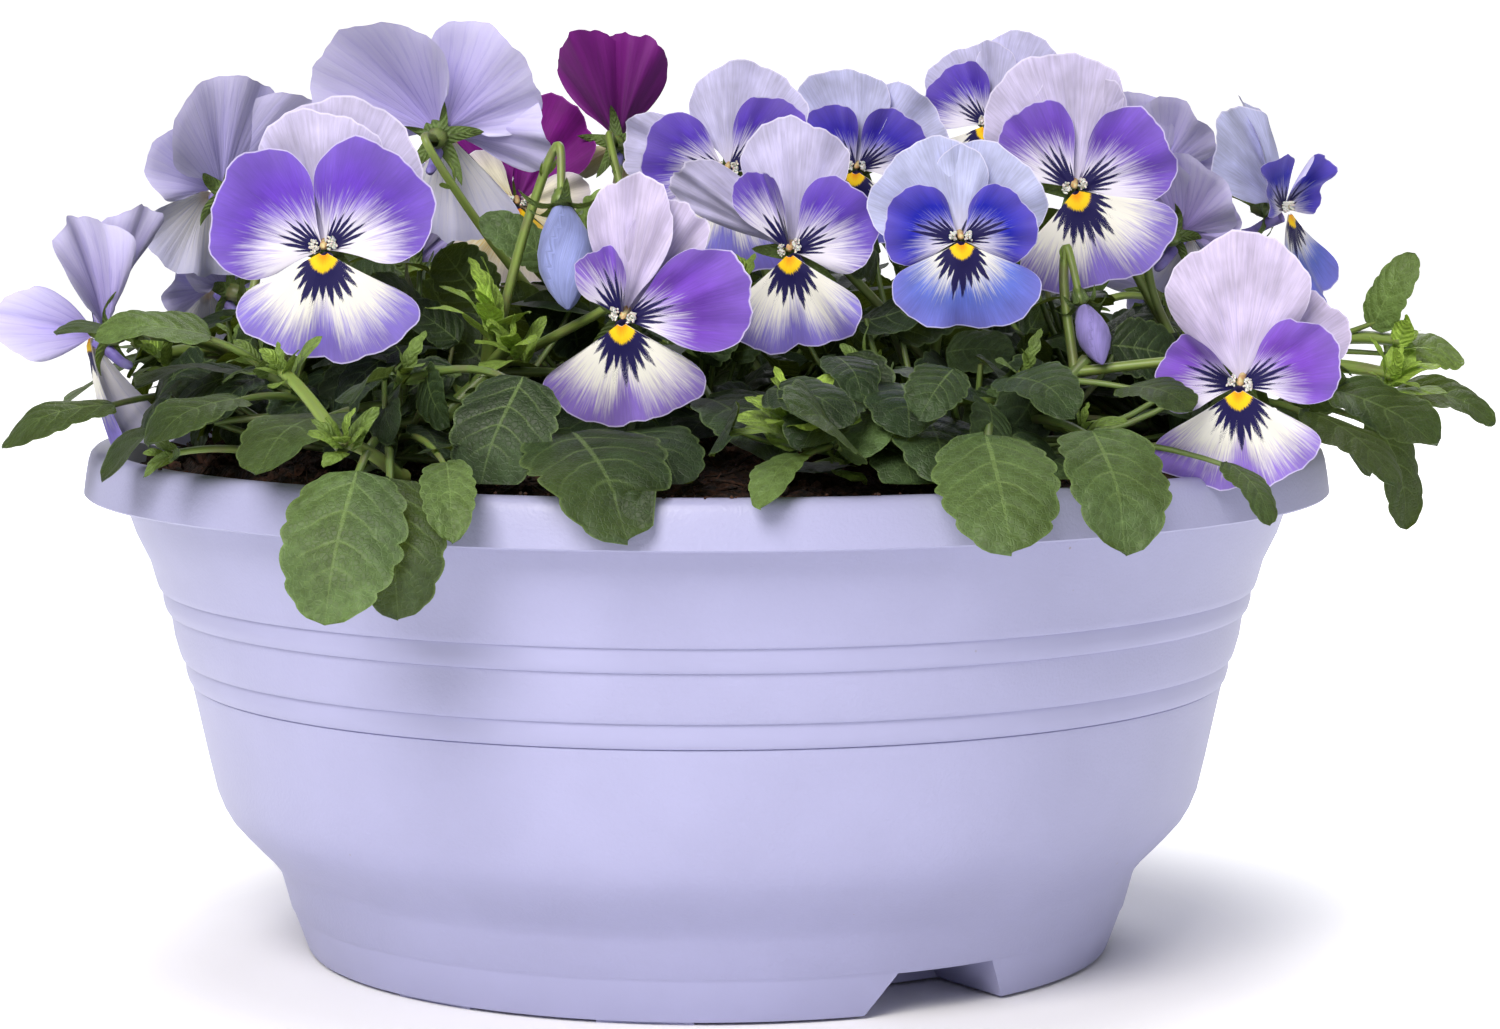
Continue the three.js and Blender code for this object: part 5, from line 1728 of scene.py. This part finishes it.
    def build(
        self, index: int, leaves: list[Leaf], fill: list[Leaf], materials: list[bpy.types.Material]
    ) -> bpy.types.Object:
        """Builds one plant.

        Args:
            index: Its number.
            leaves: The leaves that grow from the shoots, of every plant.
            fill: The leaves that grow from the crowns, of every plant.
            materials: Its finishes, in the order of PlantFinish.

        Returns:
            Its object.
        """
        plant = PLANTS[index]
        random = SeededRandom(700 + index)
        skin = Skin()
        line = np.array([[*plant.at, height] for height, _ in self.crown])
        radii = np.array([radius for _, radius in self.crown])
        skin.tube(line, radii, 12, 0.2, PlantFinish.STALK.value, ridge=0.08)
        for curve in self.layout.shoots[index]:
            self.shoot(skin, index, curve, random)
        for rosette in ROSETTES:
            if rosette.plant == index:
                self.rosette(skin, rosette, random)
        for head, knots in zip(self.layout.heads, self.layout.stalks):
            if head.plant == index:
                self.bloom_stalk(skin, knots, index, random)
                self.calyx(skin, head)
        for some, low in ((leaves, False), (fill, True)):
            for leaf in some:
                if leaf.plant == index:
                    self.leaf(skin, leaf, random, low)
        return skin.build(plant.name + "_foliage", materials)


# ---- The bowl and its peat ---------------------------------------------------


@dataclass
class Bowl:
    """The bowl: turned walls with two smooth bands, a hooded rim, and drain notches cut into its foot."""

    sides: int = 192
    outside: tuple[tuple[float, float], ...] = (
        (74.8, 0.6), (75.1, 1.0), (77.6, 7.9), (77.75, 8.35), (78.1, 8.75), (79.9, 15.3), (80.6, 16.6),
        (82.2, 18.6), (84.6, 21), (86.8, 23.3), (89, 25.8), (90.3, 28.0), (91.5, 31), (92.9, 37), (94.4, 44),
        (95.4, 48.6), (95.75, 50.2), (95.8, 50.9),
    )
    rim: tuple[tuple[float, float], ...] = (
        (105.7, 79), (109.3, 89.6), (109.9, 90.5), (110.8, 90.8), (112.4, 90.6), (113.1, 90.0), (113.3, 88.6),
        (113.4, 86.2), (113.7, 86), (114.7, 86), (115, 86.3), (114.6, 89.4), (114.1, 92.2), (113.7, 93.4),
        (113.0, 94.1), (112.2, 94.4), (110.4, 94.4), (109.7, 94.2), (109.3, 93.6),
    )
    inside: tuple[tuple[float, float], ...] = (
        (107.7, 89), (99.9, 68), (92.8, 44), (89.9, 31), (83.2, 22), (78.2, 15.3), (73.6, 2.2),
    )
    sections: tuple[tuple[float, float, float], ...] = (
        (96.35, 51.2, 55.4), (97.75, 55.6, 64.2), (100.35, 64.4, 68.5), (101.75, 68.7, 79),
    )  # the radius at the foot of each section of the wall, and its lower and upper ends
    lip: tuple[tuple[float, float], ...] = ((-0.75, -0.12), (-0.2, -0.02), (0.02, 0.3))  # a section's foot
    draft: float = 0.28  # how much wider a section gets for each mm of its height
    gate: tuple[tuple[float, float], ...] = ((0, 0.0), (12, 0.0), (12.3, 0.6))  # the pad under the middle
    mouth: float = 109.3  # the radius inside the rim
    lids: tuple[float, float] = (95.4, 97.0)  # how high the solid and its hollow are closed before the cut
    notch_turns: tuple[float, ...] = (32.3, 212.3)
    notch_top: float = 8.2
    notch_wide: float = 30
    notch_narrow: float = 20
    notch_inner: float = 54
    notch_length: float = 40
    notch_splay: tuple[float, float] = (0.5, 0.8)  # how much wider its cutter is below, and how deep
    wall: float = 1.6
    floor: float = 2.2
    drain_places: tuple[float, ...] = (63, 70)
    drain_radius: float = 2.6
    drain_sides: int = 20
    drain_span: tuple[float, float] = (-1.5, 4)  # how far the cutter reaches from the notch's top
    pad_turns: tuple[float, ...] = (-105.1, -72.9, -40.7, -8.5, 74.9, 107.1, 139.3, 171.5)
    pad_radii: tuple[float, float] = (68, 73.6)
    pad_width: float = 17
    pad_top: float = 1.0
    crease: float = 42  # degrees; an edge that turns more stays sharp

    def steps(self) -> list[tuple[float, float]]:
        """The wall between the waist and the rim. Each section overhangs the one below by a small lip."""
        points = []
        for radius, low, high in self.sections:
            points += [(radius + out, low + up) for out, up in self.lip]
            points += [(radius + self.draft * t * (high - low), low + t * (high - low)) for t in (0.12, 0.5)]
        return points

    def turned(self, profile: list[tuple[float, float]]) -> bpy.types.Object:
        """A closed profile turned about the Z axis.

        Args:
            profile: Radius and height pairs that start and end on the axis.

        Returns:
            The closed object.
        """
        around = np.arange(self.sides) / self.sides * 2 * math.pi
        # The first and the last point lie on the axis, and the rings between them.
        points = [(0.0, 0.0, profile[0][1])]
        for radius, height in profile[1:-1]:
            points += [(radius * math.cos(a), radius * math.sin(a), height) for a in around]
        points.append((0.0, 0.0, profile[-1][1]))
        faces = []
        last = len(points) - 1
        top = last - self.sides
        for i in range(self.sides):
            j = (i + 1) % self.sides
            faces += [(0, 1 + j, 1 + i), (last, top + i, top + j)]
            for low in range(1, top, self.sides):
                high = low + self.sides
                faces.append((low + i, low + j, high + j, high + i))
        return self.closed(points, faces)

    def closed(self, points: list, faces: list) -> bpy.types.Object:
        """A closed object of points in millimetres and faces, with its normals outwards."""
        mesh = bpy.data.meshes.new("bowl_shell")
        mesh.from_pydata([tuple(c * MM for c in p) for p in points], [], faces)
        shape = bmesh.new()
        shape.from_mesh(mesh)
        bmesh.ops.recalc_face_normals(shape, faces=shape.faces)
        shape.to_mesh(mesh)
        shape.free()
        return link("bowl_shell", mesh)

    def block(
        self, turn: float, corners: list[tuple[float, float]], near: float, far: float
    ) -> bpy.types.Object:
        """A prism across the radius.

        Args:
            turn: Its turn from the front.
            corners: Its outline as sideways and height pairs.
            near: Its inner radius.
            far: Its outer radius.

        Returns:
            The closed object.
        """
        out, side = facing(turn, 0), facing(turn + 90, 0)
        points = [tuple(out * r + side * x + np.array([0, 0, z])) for r in (near, far) for x, z in corners]
        count = len(corners)
        faces = [tuple(range(count)), tuple(reversed(range(count, 2 * count)))]
        faces += [(i, i + count, (i + 1) % count + count, (i + 1) % count) for i in range(count)]
        return self.closed(points, faces)

    def notch(self, turn: float, grow: float) -> bpy.types.Object:
        """A drain notch, or its housing when it is grown by the wall."""
        wide, narrow, top = self.notch_wide / 2 + grow, self.notch_narrow / 2 + grow, self.notch_top + grow
        more, deep = self.notch_splay
        corners = [(-wide - more, -deep), (wide + more, -deep), (narrow, top), (-narrow, top)]
        inner = self.notch_inner - grow
        return self.block(turn, corners, inner, inner + self.notch_length)

    def drill(self, place: Vec) -> bpy.types.Object:
        """A round cutter for a drain hole."""
        count, radius = self.drain_sides, self.drain_radius
        around = np.arange(count) / count * 2 * math.pi
        ring = [(place[0] + radius * math.cos(a), place[1] + radius * math.sin(a)) for a in around]
        points = [(x, y, self.notch_top + z) for z in self.drain_span for x, y in ring]
        faces = [tuple(reversed(range(count))), tuple(range(count, 2 * count))]
        faces += [(i, (i + 1) % count, (i + 1) % count + count, i + count) for i in range(count)]
        return self.closed(points, faces)

    def cut(self, target: bpy.types.Object, tool: bpy.types.Object, operation: str) -> None:
        """Joins a tool to the target or cuts it away, and removes the tool.

        Args:
            target: The object that changes.
            tool: The other object.
            operation: UNION or DIFFERENCE.
        """
        modifier = target.modifiers.new("cut", "BOOLEAN")
        modifier.operation, modifier.object, modifier.solver = operation, tool, "EXACT"
        bpy.context.view_layer.update()
        mesh = bpy.data.meshes.new_from_object(target.evaluated_get(bpy.context.evaluated_depsgraph_get()))
        target.modifiers.clear()
        target.data = mesh
        bpy.data.objects.remove(tool)

    def build(self, material: bpy.types.Material) -> bpy.types.Object:
        """Builds the bowl.

        Args:
            material: Its plastic.

        Returns:
            The object.
        """
        low, high = self.lids
        outer = [*self.gate, *self.outside, *self.steps(), *self.rim, (self.mouth, low), (0, low)]
        inner = [(0, self.floor), *reversed(self.inside), self.rim[-1], (self.mouth, high), (0, high)]
        shell, hollow = self.turned(outer), self.turned(inner)
        for turn in self.notch_turns:
            self.cut(hollow, self.notch(turn, self.wall), "DIFFERENCE")
        self.cut(shell, hollow, "DIFFERENCE")
        for turn in self.pad_turns:
            half, top = self.pad_width / 2, self.pad_top
            corners = [(-half, 0.0), (half, 0.0), (half, top), (-half, top)]
            self.cut(shell, self.block(turn, corners, *self.pad_radii), "UNION")
        for turn in self.notch_turns:
            self.cut(shell, self.notch(turn, 0), "DIFFERENCE")
            for radius in self.drain_places:
                self.cut(shell, self.drill(facing(turn, 0) * radius), "DIFFERENCE")
        shell.data.materials.clear()
        shell.data.materials.append(material)
        shell.data.polygons.foreach_set("material_index", np.zeros(len(shell.data.polygons), np.int32))
        shell.data.polygons.foreach_set("use_smooth", np.ones(len(shell.data.polygons), bool))
        shell.data.set_sharp_from_angle(angle=math.radians(self.crease))
        return shell


@dataclass
class Peat:
    """The soil: a low mound of crumbs with loose fibres on it, and a few crumbs spilled on the rim."""

    edge: float = 107.2
    rings: int = 70
    sides: int = 220
    mound: tuple[tuple[float, float], ...] = ((0, 96.2), (58, 95.2), (93, 93.4), (107, 89.6))
    fibres: int = 520
    fibre_reach: float = 106
    fibre_limit: float = 107  # none ends further out
    crumbs: int = 900
    crumb_reach: float = 106.5
    spilled: int = 46  # crumbs on the rim
    spilled_turn: tuple[float, float] = (-8, 17)  # degrees from the front: their middle and spread
    spilled_radii: tuple[float, float] = (108.5, 112.2)
    spilled_height: float = 94.5

    def height(self, radius: Vec) -> Vec:
        """The mound's height at a distance from the middle."""
        radii, heights = np.array(self.mound).T
        return np.interp(radius, radii, heights)

    def surface(self, skin: Skin) -> None:
        """Adds the mound's crumbly surface."""
        rng = np.random.default_rng(5)
        radius = np.linspace(0.2, self.edge, self.rings)[:, None]
        around = np.linspace(0, 2 * math.pi, self.sides, endpoint=False)[None, :]
        rough = rng.normal(0, 0.55, (self.rings, self.sides)) + rng.normal(0, 0.5, (self.rings, 1))
        height = self.height(radius) + rough * np.clip((self.edge - radius) / 8, 0.2, 1) - 0.4
        grid = np.stack([radius * np.cos(around), radius * np.sin(around), height + 0 * around], axis=-1)
        skin.add(grid, None, 0.0, 0, wrap=True)
        skirt = np.stack([grid[-1], grid[-1] * [0.96, 0.96, 1] - [0, 0, 8]])
        skin.add(skirt, None, 0.0, 0, wrap=True)

    def scatter(self, skin: Skin) -> None:
        """Adds loose fibres and crumbs."""
        rng = np.random.default_rng(9)
        for _ in range(self.fibres):
            radius = self.fibre_reach * math.sqrt(rng.random())
            turn = 2 * math.pi * rng.random()
            start = np.array([radius * math.cos(turn), radius * math.sin(turn), 0.0])
            start[2] = self.height(radius) + 0.3
            way = unit(np.array([*rng.normal(0, 1, 2), rng.normal(0.15, 0.3)]))
            length = rng.uniform(2.5, 8)
            end = start + way * length
            if math.hypot(end[0], end[1]) > self.fibre_limit:
                continue
            line = arc_points(start, (start + end) / 2 + rng.normal(0, 0.9, 3), end, np.linspace(0, 1, 5))
            line[:, 2] = np.maximum(line[:, 2], self.height(np.hypot(line[:, 0], line[:, 1])) + 0.1)
            skin.tube(line, np.full(5, rng.uniform(0.12, 0.3)), 4, 1.0, 0)
        for _ in range(self.crumbs):
            radius = self.crumb_reach * math.sqrt(rng.random())
            turn = 2 * math.pi * rng.random()
            place = np.array([radius * math.cos(turn), radius * math.sin(turn), self.height(radius)])
            self.crumb(skin, rng, place)
        for _ in range(self.spilled):
            turn = math.radians(rng.normal(*self.spilled_turn))
            radius = rng.uniform(*self.spilled_radii)
            place = np.array([radius * math.sin(turn), -radius * math.cos(turn), self.spilled_height])
            self.crumb(skin, rng, place, rng.uniform(0.15, 0.5))

    def crumb(self, skin: Skin, rng: np.random.Generator, place: Vec, size: float | None = None) -> None:
        """Adds one crumb.

        Args:
            skin: The peat's mesh.
            rng: Where its shape comes from.
            place: Its middle.
            size: Its radius, or None for a random one.
        """
        size = rng.uniform(0.5, 1.7) if size is None else size
        heights = np.array([-1, -0.5, 0.3, 0.9])
        widths = np.array([0.05, 0.85, 0.9, 0.05]) * size
        line = place + heights[:, None] * size * unit(rng.normal(0, 1, 3))
        skin.tube(line, widths * rng.uniform(0.8, 1.2, 4), 5, 0.5, 0)

    def build(self, material: bpy.types.Material) -> bpy.types.Object:
        """Builds the peat.

        Args:
            material: Its finish.

        Returns:
            The object.
        """
        skin = Skin()
        self.surface(skin)
        self.scatter(skin)
        return skin.build("potting_peat", [material])


# ---- The studio --------------------------------------------------------------


@dataclass
class Studio:
    """A pale floor that curves up all round, soft lights and the camera. Lengths are in metres."""

    camera_at: tuple[float, float, float] = (0.0, -0.7889, 0.1611)
    pitch: float = 5.841  # degrees down
    yaw: float = 0.575  # degrees towards +X
    lens: float = 101.9  # mm
    paper: str = "#f6f6f7"
    flat: float = 1.7  # the radius where the floor begins to curve up
    reach: float = 3.0
    height: float = 1.4
    daylight: float = 0.08
    aim: tuple[float, float, float] = (0.0, 0.0, 0.09)  # what the lamps point at
    sensor: float = 36  # mm
    glow: float = 0.8  # how strongly the floor's far part is lit on its own
    glow_start: tuple[float, float] = (0.09, 0.16)  # from the middle, where that sets in
    glow_wedge: tuple[float, float] = (0.16, 0.5)  # from the middle line, where it dims sideways
    glow_front: tuple[float, float] = (-0.35, -0.15)  # along Y, where it dims forwards

    def floor(self) -> None:
        """Builds the floor. Outside the bowl it glows, as painted light for a lit background, and lifts the
        bowl's shadow.
        """
        rings = [(0.001, 0.0), (0.4, 0.0), (0.8, 0.0), (self.flat, 0.0)]
        for t in np.linspace(0.15, 1, 9) * math.pi / 2:
            radius = self.flat + (self.reach - self.flat) * math.sin(t)
            rings.append((radius, self.height * (1 - math.cos(t))))
        around = np.linspace(0, 2 * math.pi, 72, endpoint=False)
        skin = Skin()
        grid = np.array([[(r * math.cos(a), r * math.sin(a), z) for a in around] for r, z in rings]) / MM
        skin.add(grid, wrap=True)
        # Background paper, calendered but not glazed: evenly white to the eye, and matt.
        g = Graph("white_paper")
        place = g.place()
        away = g.add("VectorMath", place, operation="LENGTH").node.outputs["Value"]
        # The glow is painted light: it sets in just outside the bowl's foot, where it lightens the bowl's
        # shadow on the floor, and it dims sideways and towards the front.
        lit = g.add("MapRange", away, *self.glow_start, 0.0, self.glow, **EASED)
        axes = g.add("SeparateXYZ", place).node.outputs
        sideways = g.add("ABSOLUTE", axes[0])
        wedge = g.add("MULTIPLY_ADD", axes[1], -0.2, sideways)
        narrow = g.add("MapRange", wedge, *self.glow_wedge, 1.0, 0.25, **EASED)
        behind = g.add("MapRange", axes[1], *self.glow_front, 0.4, 1.0, **EASED)
        lit = g.add("MULTIPLY", g.add("MULTIPLY", lit, narrow), behind)
        tint = linear(self.paper)
        named = {"Base Color": tint, "Roughness": 0.9, "Emission Color": tint, "Emission Strength": lit}
        skin.build("floor", [g.finish(g.add("BsdfPrincipled", named=named))])

    def lamp(
        self, name: str, place: tuple[float, float, float], size: float, power: float, colour: str
    ) -> None:
        """Adds a square light that shines at the plant.

        Args:
            name: Its name.
            place: Where it is.
            size: Its side.
            power: In watts.
            colour: An sRGB hex value.
        """
        lamp = bpy.data.lights.new(name, "AREA")
        lamp.shape, lamp.size, lamp.energy = "SQUARE", size, power
        lamp.color = linear(colour)[:3]
        thing = link(name, lamp)
        thing.location = place
        way = np.array(self.aim) - np.array(place)
        tilt = math.atan2(math.hypot(way[0], way[1]), -way[2])
        thing.rotation_euler = (tilt, 0, math.atan2(way[1], way[0]) - math.pi / 2)

    def build(self) -> None:
        """Builds the floor, the lights and the camera."""
        scene = bpy.context.scene
        self.floor()
        world = bpy.data.worlds.new("studio")
        world.use_nodes = True
        background = world.node_tree.nodes["Background"].inputs
        background["Color"].default_value = (1, 1, 1, 1)
        background["Strength"].default_value = self.daylight
        scene.world = world
        self.lamp("key", (-0.42, -1.2, 1.05), 0.8, 29, "#fffaf4")
        self.lamp("fill", (0.8, -1.05, 0.5), 0.8, 1.0, "#f0f3ff")
        self.lamp("back", (0.2, 1.1, 1.0), 0.8, 8.0, "#fbfbff")
        camera = bpy.data.cameras.new("camera")
        camera.lens, camera.sensor_width, camera.sensor_fit = self.lens, self.sensor, "HORIZONTAL"
        camera.clip_start = 0.01
        thing = link("camera", camera)
        thing.location = self.camera_at
        thing.rotation_euler = (math.radians(90 - self.pitch), 0, math.radians(-self.yaw))
        scene.camera = thing
        scene.view_settings.view_transform = "Standard"


# ---- The whole ---------------------------------------------------------------

BLUE_PETALS = (
    PetalVelvet(PetalKind.UPPER, "petal_upper_lilac", "#b7bcde", "#ccc0dc", "#dedaea", "#9e98cc"),
    PetalVelvet(
        PetalKind.SIDE, "petal_side_violet", "#1b1fae", "#7644b4", "#e9e6f2", "#17114f",
        patch=9.5, line_reach=9.8, line_spacing=9.5, line_spread=34.0,
    ),
    PetalVelvet(
        PetalKind.LOWER, "petal_lower_white", "#5a6ecb", "#8a69c2", "#f2f1e8", "#17114f",
        patch=12.7, line_reach=10.8, line_spacing=11.0, line_spread=60.0, line_weight=1.6,
    ),
)
BLUE_BACKS = (
    PetalBack("petal_back_lilac", "#bcb8fa", "#dcd8fc", "#8f86dc", "#b89ef0"),
    PetalBack("petal_back_white", "#f0eeee", "#d6d6f4", "#aeb3de", "#f0eeee"),
)
MAGENTA_PETALS = (
    PetalVelvet(
        PetalKind.UPPER, "petal_upper_magenta", "#720b7a", "#7c0f82", "#470650", "#3a0444", margin="#a34aa8",
    ),
    PetalVelvet(
        PetalKind.SIDE, "petal_side_cream", "#dedac8", "#dedac8", "#ecdc98", "#5a3a50",
        patch=5.0, line_reach=6.0, line_weight=0.5,
    ),
    PetalVelvet(
        PetalKind.LOWER, "petal_lower_cream", "#e2dcc0", "#e2dcc0", "#f2c83c", "#4a2440",
        patch=10.0, line_reach=5.5, line_spread=50.0, line_weight=0.6, glow="#f0700a",
    ),
)
MAGENTA_BACKS = (
    PetalBack("petal_back_magenta", "#5e0c66", "#7d1286", "#4b0854", "#5e0c66"),
    PetalBack("petal_back_cream", "#dcd5a4", "#e6e0c8", "#c4bc88", "#dcd5a4"),
)
FURLED_PETALS = PetalVelvet(PetalKind.UPPER, "petal_furled_blue", "#96a3da", "#9a8cd0", "#b0bae6", "#6a70ba")
BEARD = PlainFlesh("throat_beard", "#f1eee8", "#dedad2")
STIGMA = PlainFlesh("stigma", "#c9bd8a", "#b98d5e")
SPUR = PlainFlesh("spur_flesh", "#8f86c6", "#6f62ae", 2.5)
SEPAL = LeafSkin("sepal_skin", grown="#4c6236", young="#6f8342", vein="#5f5458")


def main() -> None:
    """Builds the classes in order and reports each piece."""
    logging.basicConfig(level=logging.INFO, format="%(name)s: %(message)s")
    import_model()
    Studio().build()
    seat(Bowl().build(MouldedPolypropylene().build()), "bowl", "bowl")
    seat(Peat().build(PottingPeat().build()), "soil", "soil")
    layout = Layout()
    fill = [leaf for layer in FILL_LAYERS for leaf in layout.fill_leaves(layer)]
    LOG.info("%d leaves on shoots, %d on crowns", len(layout.leaves), len(fill))
    plants = PlantMaker(layout)
    green = [LeafSkin().build(), StalkSkin().build(), SEPAL.build()]
    for index, plant in enumerate(PLANTS):
        seat(plants.build(index, layout.leaves, fill, green), "leaf", plant.name)
    small = [finish.build() for finish in (BEARD, STIGMA, SPUR)]
    blue, magenta = (
        [finish.build() for finish in petals] + small + [finish.build() for finish in backs]
        for petals, backs in ((BLUE_PETALS, BLUE_BACKS), (MAGENTA_PETALS, MAGENTA_BACKS))
    )
    maker = BloomMaker()
    for number, bloom in enumerate(BLOOMS):
        finishes = magenta if bloom.magenta else blue
        slot = "petal_magenta" if bloom.magenta else "petal"
        seat(maker.build(bloom, finishes, 40 + number), slot, bloom.name)
    furled = FURLED_PETALS.build()
    for bud in FURLED:
        seat(FurledMaker().build(bud, [furled]), "petal", bud.name)


if __name__ == "__main__":
    main()
